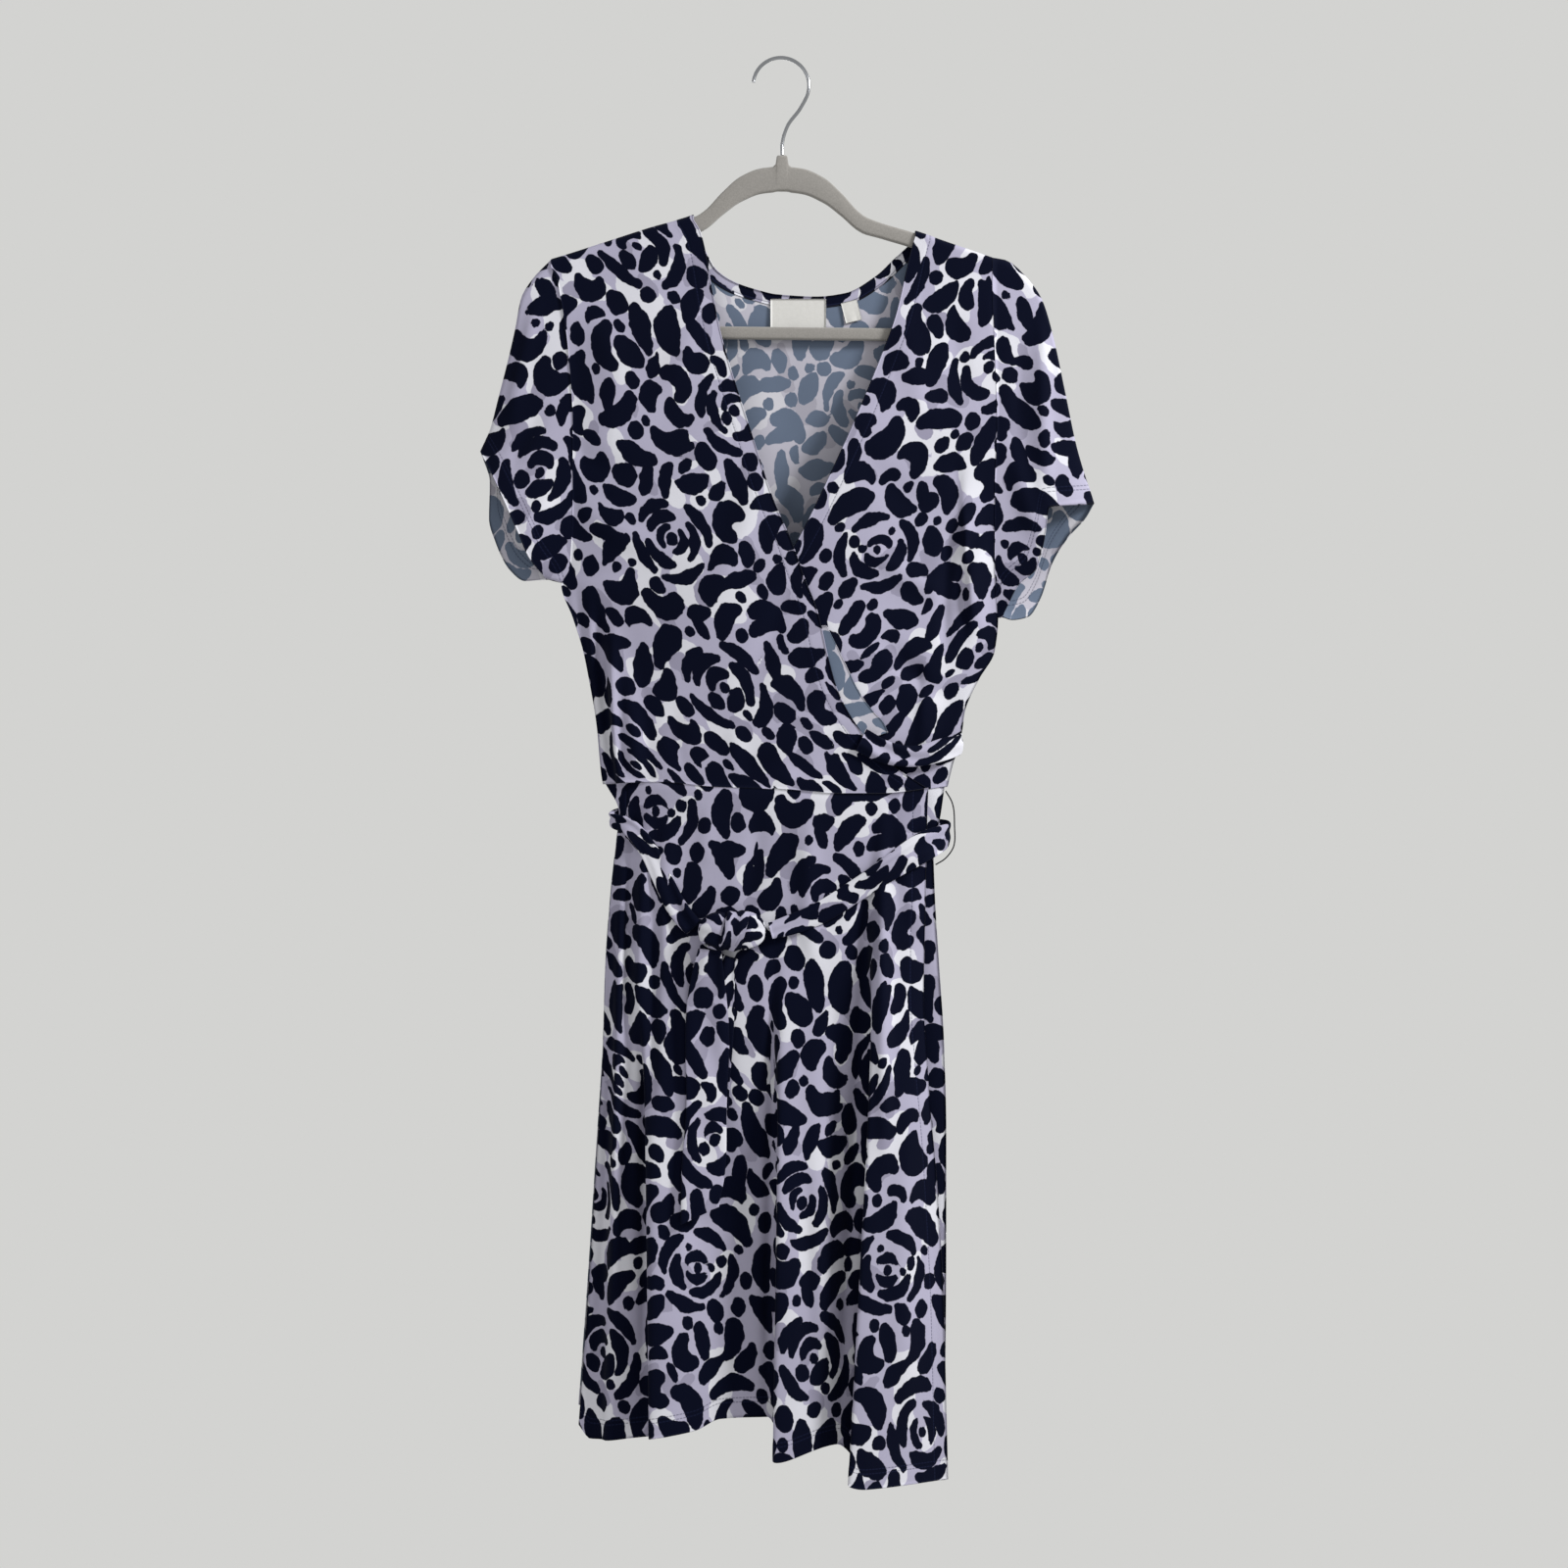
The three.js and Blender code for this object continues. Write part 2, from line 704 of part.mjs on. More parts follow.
// A tie along a route of rows: face (-1 front, 0 round the side, 1 back), x, z, width, lift off the cloth
function tieGeometry(route, stepsAlong) {
  const centre = [];
  const outward = [];
  for (const { face, x, z, lift } of route) {
    const clear = TIE_CLEARANCE + lift;
    if (face === 0) {
      const side = Math.sign(x);
      centre.push(new THREE.Vector3(x + side * clear, 0, z));
      outward.push(new THREE.Vector3(side, 0, 0));
    } else {
      const y = surfaceY(face < 0 ? "front" : "back", x, z) + face * clear;
      centre.push(new THREE.Vector3(x, y, z));
      outward.push(new THREE.Vector3(0, face, 0));
    }
  }
  const path = new THREE.CatmullRomCurve3(centre, false, "centripetal");
  const aim = new THREE.CatmullRomCurve3(outward, false, "centripetal");
  const widths = route.map((row) => row.width);
  const rings = steps(stepsAlong).map((t) => {
    const place = t * (route.length - 1);
    const k = Math.min(Math.floor(place), route.length - 2);
    const width = lerp(widths[k], widths[k + 1], place - k);
    const tangent = path.getTangent(t);
    const normal = aim.getPoint(t).normalize();
    const flat = new THREE.Vector3().crossVectors(tangent, normal).normalize();
    const up = new THREE.Vector3().crossVectors(flat, tangent).normalize();
    const centrePoint = path.getPoint(t);
    return TIE_SECTION.map(([w, h]) =>
      centrePoint
        .clone()
        .addScaledVector(flat, (w * width) / 2)
        .addScaledVector(up, (h * TIE_THICKNESS) / 2),
    );
  });
  return ringGeometry(rings);
}
const TIE_SECTION = [
  [-1, 0],
  [-0.75, 1],
  [0.75, 1],
  [1, 0],
  [0.75, -1],
  [-0.75, -1],
];

// A solid through rings of equal count, with flat ends
function ringGeometry(rings) {
  const count = rings[0].length;
  const positions = rings.flat().flatMap((p) => p.toArray());
  const index = [];
  for (let j = 0; j < rings.length - 1; j++) {
    for (let i = 0; i < count; i++) {
      const a = j * count + i;
      const b = j * count + ((i + 1) % count);
      index.push(a, b, b + count, a, b + count, a + count);
    }
  }
  const last = (rings.length - 1) * count;
  for (let i = 1; i < count - 1; i++) {
    index.push(0, i + 1, i);
    index.push(last, last + i, last + i + 1);
  }
  return closedGeometry(positions, index);
}

const TIE_COLUMNS = ["face", "x", "z", "width", "lift"];
const route = (rows) =>
  rows.map((row) => Object.fromEntries(TIE_COLUMNS.map((name, i) => [name, row[i]])));
const TIE_OVER = route([
  [-1, 68, -590, 20, 0.6],
  [-1, 90, -601, 19, 1.5],
  [-1, 116, -604, 19, 1.5],
  [-1, 140, -598, 20, 1],
  [0, 157, -592, 20, 0.4],
  [1, 140, -592, 20, 5.4],
  [1, 100, -596, 22, 5.4],
  [1, 40, -608, 22, 6],
  [1, -30, -624, 22, 6.6],
  [1, -90, -642, 20, 6],
  [1, -126, -652, 16, 5.4],
  [0, -151.5, -659, 14, 0.6],
  [-1, -134, -664, 14, 2],
  [-1, -116, -684, 16, 1],
  [-1, -102, -712, 18, 1],
  [-1, -88, -738, 18, 1.2],
  [-1, -76, -752, 16, 2],
]);
const TIE_UNDER = route([
  [1, -128, -624, 16, 4],
  [1, -96, -627, 18, 2.4],
  [1, -56, -636, 20, 3],
  [1, -20, -648, 22, 2.2],
  [1, 40, -660, 22, 1.8],
  [1, 100, -668, 22, 1.8],
  [0, 141.5, -671, 22, 0.6],
  [-1, 122, -682, 24, 2],
  [-1, 96, -698, 22, 2],
  [-1, 66, -718, 20, 2],
  [-1, 30, -740, 18, 2],
  [-1, 4, -750, 17, 2.5],
  [-1, -10, -754, 15, 3.5],
]);
const TAIL_LONG = route([
  [-1, -62, -776, 22, 6],
  [-1, -64, -800, 32, 5],
  [-1, -64, -860, 36, 7],
  [-1, -66, -940, 36, 8],
  [-1, -70, -996, 34, 8],
]);
const TAIL_SHORT = route([
  [-1, -46, -776, 18, 2],
  [-1, -54, -800, 28, 1],
  [-1, -58, -860, 30, 2.4],
  [-1, -60, -906, 30, 3],
]);

// Knot: a flattened lump with a soft waist, where the two ties cross
const KNOT = { x: -43, z: -754, width: 58, height: 36, depth: 15, lift: 8.5 };
function knotGeometry() {
  const geometry = new THREE.SphereGeometry(0.5, 20, 12);
  geometry.deleteAttribute("normal");
  geometry.deleteAttribute("uv");
  const position = geometry.getAttribute("position");
  const cinch = 0.22;
  for (let i = 0; i < position.count; i++) {
    const x = position.getX(i);
    const waist = 1 - cinch * Math.exp(-((x / 0.16) ** 2));
    position.setXYZ(
      i,
      x * KNOT.width,
      position.getY(i) * KNOT.depth,
      position.getZ(i) * KNOT.height * waist,
    );
  }
  return geometry;
}

// Hanger body: one closed loop of band, arms and bar. Each station pairs a point of the outer outline
// with one of the inner outline, and carries a section with rounded corners between them.
const TIP_STEPS = 5;
const BAR_STEPS = 3;
function arcPoints(centreX, centreZ, radius, from, to, count) {
  return steps(count).map((t) => {
    const angle = THREE.MathUtils.degToRad(lerp(from, to, t));
    return [centreX + radius * Math.cos(angle), centreZ + radius * Math.sin(angle)];
  });
}
function hangerGeometry() {
  const tipRadius = 12;
  const alongTop = [8, 18, 28, 36, 44, 52, 59, 66, 74, 95, 116, 133, 150, 166];
  const bandAt = (x) => lerp(ARCH_BAND, HANGER_BAND, ramp(x, 30, 90));
  const outer = [
    [4.2, -84],
    [5.6, -91],
    ...alongTop.map((x) => [x, HANGER_TOP.at("z", x)]),
    ...arcPoints(HANGER_HALF_WIDTH - tipRadius, -185.5, tipRadius, 72, -55, TIP_STEPS),
    ...arcPoints(140, -206, 37, -55, -90, BAR_STEPS),
  ];
  const inner = [
    [4.2, -114.5],
    [5.6, -114.6],
    ...alongTop.map((x) => [x * 0.985, HANGER_TOP.at("z", x) - bandAt(x)]),
    ...arcPoints(176, -186.5, 4, 72, -55, TIP_STEPS),
    ...arcPoints(140, -206, 26, -55, -90, BAR_STEPS),
  ];
  const half = outer.map((point, k) => [point, inner[k]]);
  const flip = ([x, z]) => [-x, z];
  const loop = [...half, ...half.map(([o, i]) => [flip(o), flip(i)]).reverse()];
  const rings = loop.map(([o, i]) => {
    const start = new THREE.Vector3(o[0], 0, o[1] - HANGER_TILT * o[0]);
    const end = new THREE.Vector3(i[0], 0, i[1] - HANGER_TILT * i[0]);
    const inward = end.clone().sub(start).normalize();
    const flat = BAR_THICKNESS / 2 - BAR_ROUNDING;
    const section = [
      [0, flat],
      [BAR_ROUNDING, BAR_THICKNESS / 2],
    ];
    const side = (origin, sign, list) =>
      list.map(([deep, y]) => origin.clone().addScaledVector(inward, sign * deep).setY(y));
    const back = [...side(start, 1, section), ...side(end, -1, [...section].reverse())];
    const front = back.map((p) => p.clone().setY(-p.y)).reverse();
    return [...back, ...front];
  });
  return loopGeometry(rings);
}

// A solid through rings that come back to the first one
function loopGeometry(rings) {
  const count = rings[0].length;
  const index = [];
  for (let j = 0; j < rings.length; j++) {
    const next = ((j + 1) % rings.length) * count;
    for (let i = 0; i < count; i++) {
      const after = (i + 1) % count;
      const a = j * count;
      index.push(a + i, a + after, next + after, a + i, next + after, next + i);
    }
  }
  return closedGeometry(
    rings.flat().flatMap((p) => p.toArray()),
    index,
  );
}

// Hook: a round wire, from its tip over the bend and down into the collar
function hookGeometry() {
  const centreZ = WIRE_RADIUS - HOOK_RADIUS;
  const bend = steps(14).map((t) => {
    const a = THREE.MathUtils.degToRad(lerp(173, -12, t));
    return new THREE.Vector3(
      HOOK_CENTRE_X + HOOK_RADIUS * Math.cos(a),
      0,
      centreZ + HOOK_RADIUS * Math.sin(a),
    );
  });
  const shank = [
    [16, -42],
    [4.5, -58],
    [1.5, -66],
    [0, -74],
    [0, -83.6],
  ].map(([x, z]) => new THREE.Vector3(x, 0, z));
  const path = new THREE.CatmullRomCurve3([...bend, ...shank], false, "centripetal");
  const section = new THREE.Shape();
  section.absarc(0, 0, WIRE_RADIUS, 0, 2 * Math.PI);
  return new THREE.ExtrudeGeometry(section, {
    steps: 44,
    extrudePath: path,
    curveSegments: 5,
    bevelEnabled: false,
  });
}

// Thread belt loop: a thin thread that stands off the side seam round the tie
function threadLoopGeometry() {
  const stand = [
    [141.8, -634],
    [147, -643],
    [149.5, -664],
    [148, -684],
    [141, -693],
    [133, -698],
  ].map(([x, z]) => new THREE.Vector3(x, 0, z));
  const section = new THREE.Shape();
  section.absarc(0, 0, 0.6, 0, 2 * Math.PI);
  return new THREE.ExtrudeGeometry(section, {
    steps: 12,
    extrudePath: new THREE.CatmullRomCurve3(stand),
    curveSegments: 3,
    bevelEnabled: false,
  });
}

const NAVY = 0x0b0f24;
const LILAC = 0xb8b2ca;
const WARM_GREY = 0x9e9b96;
const CHROME = 0xc9cbce;
const LABEL_WHITE = 0xf2f1ee;
const cloth = (colour) => new THREE.MeshStandardMaterial({ color: colour, roughness: 0.85 });
const plain = (colour, roughness, metalness) =>
  new THREE.MeshStandardMaterial({ color: colour, roughness, metalness });

const dress = new THREE.Group();
function add(parent, name, geometry, material) {
  const mesh = new THREE.Mesh(geometry, material);
  mesh.name = name;
  parent.add(mesh);
  return mesh;
}

const hanger = new THREE.Group();
add(hanger, "hanger_body", hangerGeometry(), plain(WARM_GREY, 0.8, 0));
add(hanger, "hanger_hook", hookGeometry(), plain(CHROME, 0.2, 1));
dress.add(hanger);

const bodice = new THREE.Group();
add(bodice, "bodice_front_over", wallGeometry(OVER_BODICE_GRID), cloth(NAVY));
add(bodice, "bodice_front_under", wallGeometry(UNDER_BODICE_GRID), cloth(NAVY));
add(bodice, "bodice_back", wallGeometry(BACK_BODICE_GRID), cloth(NAVY));
add(bodice, "neck_band_back", wallGeometry(NECK_BAND_GRID), cloth(NAVY));
for (const [name, sleeve] of Object.entries(SLEEVES)) {
  add(bodice, name, wallGeometry(sleeveGrid(sleeve), true), cloth(NAVY));
}
dress.add(bodice);

const skirt = new THREE.Group();
add(skirt, "skirt_front_over", wallGeometry(OVER_SKIRT_GRID), cloth(LILAC));
add(skirt, "skirt_front_under", wallGeometry(UNDER_SKIRT_GRID), cloth(LILAC));
add(skirt, "skirt_back", wallGeometry(BACK_SKIRT_GRID), cloth(LILAC));
dress.add(skirt);

const ties = new THREE.Group();
add(ties, "tie_over", tieGeometry(TIE_OVER, 50), cloth(NAVY));
add(ties, "tie_under", tieGeometry(TIE_UNDER, 36), cloth(NAVY));
add(ties, "tie_tail_long", tieGeometry(TAIL_LONG, 10), cloth(NAVY));
add(ties, "tie_tail_short", tieGeometry(TAIL_SHORT, 8), cloth(NAVY));
const knot = add(ties, "tie_knot", knotGeometry(), cloth(NAVY));
knot.position.set(KNOT.x, surfaceY("front", KNOT.x, KNOT.z) - KNOT.lift, KNOT.z);
add(ties, "thread_loop", threadLoopGeometry(), cloth(NAVY));
dress.add(ties);

// Labels hang inside the back neck, just in front of the back
const LABEL_THICKNESS = 0.8;
const labels = new THREE.Group();
function addLabel(name, width, height, x, topZ, turn) {
  const middleZ = topZ - height / 2;
  const y = bodiceDepth("back", x, topZ) - WALL / 2 - SEAM_GAP - LABEL_THICKNESS / 2 - 0.1;
  const label = add(
    labels,
    name,
    new THREE.BoxGeometry(width, LABEL_THICKNESS, height),
    plain(LABEL_WHITE, 0.6, 0),
  );
  label.position.set(x, y, middleZ);
  label.rotation.y = THREE.MathUtils.degToRad(turn);
}
addLabel("neck_label", 48, 34, 14, -207, 0);
addLabel("size_label", 14, 18, 58, -209, -14);
dress.add(labels);

export default dress;
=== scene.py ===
"""Looks of a wrap dress in printed jersey on a slim hanger.

Lengths are millimetres up to the point where a mesh is made, then metres. The dress faces -Y, +X is the
viewer's right, and the origin is where the hook rests on a rail. Left and right are the viewer's, except
in the names of pieces, where they are the wearer's.
"""

import functools
import math

import bpy
import numpy as np
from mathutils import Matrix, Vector


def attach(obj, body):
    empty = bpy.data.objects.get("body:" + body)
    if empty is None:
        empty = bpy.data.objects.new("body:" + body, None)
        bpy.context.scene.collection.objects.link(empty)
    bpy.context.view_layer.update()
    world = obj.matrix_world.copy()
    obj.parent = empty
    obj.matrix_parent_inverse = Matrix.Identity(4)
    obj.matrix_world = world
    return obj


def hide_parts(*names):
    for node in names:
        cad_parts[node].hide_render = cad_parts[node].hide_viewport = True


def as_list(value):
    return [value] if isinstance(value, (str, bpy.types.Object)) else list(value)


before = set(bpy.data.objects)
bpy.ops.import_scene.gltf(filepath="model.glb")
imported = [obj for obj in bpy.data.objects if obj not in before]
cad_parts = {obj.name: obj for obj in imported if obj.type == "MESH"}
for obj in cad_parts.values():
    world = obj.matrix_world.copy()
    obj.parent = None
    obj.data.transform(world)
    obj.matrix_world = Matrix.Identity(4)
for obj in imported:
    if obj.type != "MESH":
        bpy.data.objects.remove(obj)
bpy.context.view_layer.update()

MM = 0.001
SPACING = 2.8  # of the points of a cloth grid
CLOTH = 0.9  # thickness of the jersey
HEM_CLOTH = 1.5  # at a turned hem
SEAM_GAP = 0.3
SEAM_DEPTH = 0.5
LAP = 3.0  # of the over front in front of the under one
SKIRT_LAP = 4.0  # more, towards its free edge
TURN_RADIUS = 4.7  # of the cloth over the hanger's arms
SHOULDER_RISE = 1.7
HANGER_TILT = 0.011
NECK_LEFT_X = -77.0
NECK_RIGHT_X = 116.0
SLEEVE_HEAD_LEFT_X = -200.0
SLEEVE_HEAD_RIGHT_X = 182.0
NECK_BAND_WIDTH = 8.0
NECK_BAND_ROW = 1.8  # of stitches, from its lower edge
WAIST_LEFT_X = -154.0
WAIST_RIGHT_X = 141.0
SKIRT_TOP_Z = -630.0
SKIRT_HEM_Z = -1200.0
FRONT_LENGTH = 490
BACK_LENGTH = 480
SKIRT_LENGTH = 570
SLEEVE_GIRTH = 300  # of one half
SLEEVE_LENGTH = 110
SLEEVE_FULLNESS = 11.0
WIRE_RADIUS = 1.6
THREAD_RADIUS = 0.6
HOOK_RADIUS = 24.2
HOOK_CENTRE_X = -1.0


def hermite(a, b, slope_a, slope_b, width, t):
    """A cubic from a to b over a width, at a share t of it."""
    return (
        a * (1 + 2 * t) * (1 - t) ** 2
        + slope_a * width * t * (1 - t) ** 2
        + b * t * t * (3 - 2 * t)
        - slope_b * width * t * t * (1 - t)
    )


class Table:
    """Rows with named columns. Between rows a value follows a monotone cubic."""

    def __init__(self, columns, rows):
        values = np.array(sorted(rows), float)
        self.keys = values[:, 0]
        self.columns = dict(zip(columns.split(), values.T))

    def at(self, name, key):
        x = self.keys
        y = self.columns[name]
        slope = np.diff(y) / np.diff(x)
        before = slope[:-1]
        after = slope[1:]
        total = np.where(before + after == 0, 1, before + after)
        inner = np.where(before * after <= 0, 0, 2 * before * after / total)
        tangent = np.concatenate([slope[:1], inner, slope[-1:]])
        key = np.clip(np.asarray(key, float), x[0], x[-1])
        i = np.clip(np.searchsorted(x, key, side="right") - 1, 0, len(x) - 2)
        width = x[i + 1] - x[i]
        return hermite(y[i], y[i + 1], tangent[i], tangent[i + 1], width, (key - x[i]) / width)


def lerp(a, b, t):
    return a + (b - a) * t


def ramp(value, start, end):
    t = np.clip((value - start) / (end - start), 0, 1)
    return t * t * (3 - 2 * t)


def inside(t, first, last):
    """1 between the ends 0 and 1, with a ramp at each end."""
    return ramp(t, 0, first) * ramp(1 - t, 0, last)


def bump(t):
    return np.where(np.abs(t) < 1, 0.5 * (1 + np.cos(np.pi * np.clip(t, -1, 1))), 0)


def stack(x, y, z):
    return np.stack(np.broadcast_arrays(x, y, z), axis=-1)


def unit(vectors):
    return vectors / np.maximum(np.linalg.norm(vectors, axis=-1, keepdims=True), 1e-9)


def lengths_along(points):
    steps = np.linalg.norm(np.diff(points, axis=0), axis=1)
    return np.concatenate([[0], np.cumsum(steps)])


HANGER_TOP = Table("x z", [
    (0, -92.5), (18, -94.5), (36, -102), (52, -116), (66, -131), (74, -136.5), (116, -149.6), (150, -161),
    (186, -173), (202, -178),
])
BODICE_SIDES = Table("z left right", [
    (-165, -200, 182), (-195, -194, 182), (-253, -185, 184), (-318, -181, 186), (-373, -181, 184),
    (-441, -184, 184), (-455, -191, 185), (-484, -181, 187), (-513, -172, 184), (-538, -167, 170),
    (-566, -162, 158), (-581, -160, 156), (-615, -157, 147), (-640, -153, 141),
])
BODICE_DEPTH = Table("z front back left right", [
    (-136, 4.7, 4.7, 4.7, 4.7), (-190, 5.2, 5, 4.7, 4.7), (-240, 8, 6, 5.5, 5.5), (-330, 13, 10, 6.5, 6.5),
    (-400, 15, 13, 5, 6.5), (-440, 16, 13, 2.2, 5), (-453, 16, 13, 0.5, 4), (-484, 16, 13, 0.5, 0.5),
    (-580, 14, 12, 0.5, 0.5), (-640, 12, 11, 0.5, 0.5),
])
OVER_EDGE = Table("z x", [
    (-140, -77), (-153, -71), (-209, -60), (-248, -51), (-297, -36), (-331, -25), (-383, -8), (-420, 8),
    (-451, 19), (-479, 30), (-522, 40), (-549, 48), (-581, 66), (-610, 92), (-638, 126),
])
UNDER_EDGE = Table("z x", [
    (-153, 116), (-164, 113), (-223, 99), (-253, 88), (-307, 66), (-354, 45), (-421, 12), (-470, -20),
    (-530, -60), (-590, -100), (-628, -125),
])
BACK_NECK = Table("x z", [
    (-77, -141), (-74, -150), (-65, -169), (-57, -182), (-40, -193), (-22, -199), (-5, -203), (30, -205),
    (55, -202), (82, -187), (99, -171), (110, -161), (116, -154),
])
WAIST = Table("x z", [
    (-155, -628), (-106, -626), (-61, -630), (-14, -632), (54, -637), (85, -637), (142, -630),
])
SKIRT_SIDES = Table("z left right edge", [
    (-628, -154, 141, 126), (-657, -141, 137, 125), (-688, -144, 131, 125), (-726, -148, 132, 126),
    (-798, -153, 136, 130), (-866, -155, 140, 138), (-951, -160, 142, 145), (-1066, -167, 142, 147),
    (-1200, -176, 141, 147),
])
SKIRT_DEPTH = Table("z front back", [
    (-630, 12, 11), (-750, 12, 10), (-900, 14, 13), (-1100, 17, 17), (-1200, 18, 19),
])
OVER_HEM = Table("x z", [
    (-176, -1183), (-166, -1194), (-112, -1189), (-65, -1181), (-50, -1172), (-12, -1171), (2, -1196),
    (20, -1204), (52, -1193), (66, -1210), (100, -1226), (147, -1227),
])

# Folds: from a top to a low end, how deep, how far the crest leans to the right, how wide on its left and
# right flank, and over what height it fades out at its low end
FOLD_COLUMNS = ("topX", "topZ", "lowX", "lowZ", "depth", "lean", "rise", "fall", "fadeLow")


def folds(*rows):
    return [dict(zip(FOLD_COLUMNS, row)) for row in rows]


OVER_SKIRT_FOLDS = folds(
    (-136, -700, -150, -1200, 6, 4, 12, 20, 0), (-118, -760, -112, -1200, 18, 20, 16, 56, 0),
    (1, -750, -6, -1200, 24, 24, 19, 50, 0), (89, -650, 58, -1200, 34, 30, 22, 78, 0),
)
BACK_SKIRT_FOLDS = folds(
    (-112, -680, -120, -1200, 13, 12, 18, 40, 0), (-58, -700, -66, -1200, 18, 16, 20, 46, 0),
    (8, -690, 4, -1200, 16, 14, 20, 50, 0), (72, -670, 76, -1200, 20, 18, 22, 40, 0),
)
OVER_BODICE_FOLDS = folds(
    (-170, -470, -160, -650, 4, 3, 10, 12, 0), (-150, -470, -138, -650, 6, 5, 12, 22, 0),
)
UNDER_BODICE_FOLDS = folds(
    (158, -330, 166, -520, 6, 4, 12, 16, 60), (128, -500, 122, -600, 4, 3, 12, 18, 50),
)
BACK_BODICE_FOLDS = folds(
    (-140, -420, -130, -650, 5, 3, 14, 20, 0), (130, -430, 122, -650, 5, -3, 18, 14, 0),
    (-60, -460, -56, -630, 4, 2, 16, 18, 70), (40, -450, 44, -620, 4, 2, 16, 18, 70),
)


def arm_top(x):
    return HANGER_TOP.at("z", np.abs(x)) - HANGER_TILT * x


def shoulder_z(x):
    return arm_top(x) + SHOULDER_RISE


GROWTH_SHARE = 0.55  # of its length, over which a fold grows to its full depth


def growth(fold, z):
    reach = GROWTH_SHARE * (fold["topZ"] - fold["lowZ"])
    fade = ramp(z, fold["lowZ"], fold["lowZ"] + fold["fadeLow"]) if fold["fadeLow"] else 1
    return ramp(fold["topZ"] - z, 0, reach) * fade


def crest_base(fold, z):
    share = (z - fold["topZ"]) / (fold["lowZ"] - fold["topZ"])
    return lerp(fold["topX"], fold["lowX"], share) + fold["lean"] * growth(fold, z)


def fold_shift(rows, x, z):
    """Outward and sideways shift that the folds give the points (x, z)."""
    out = np.zeros(np.broadcast(x, z).shape)
    aside = out.copy()
    for fold in rows:
        side = x - crest_base(fold, z)
        width = np.where(side < 0, fold["rise"], fold["fall"])
        h = bump(side / width) * growth(fold, z)
        out = out + fold["depth"] * h
        aside = aside - fold["lean"] * h
    return out, aside


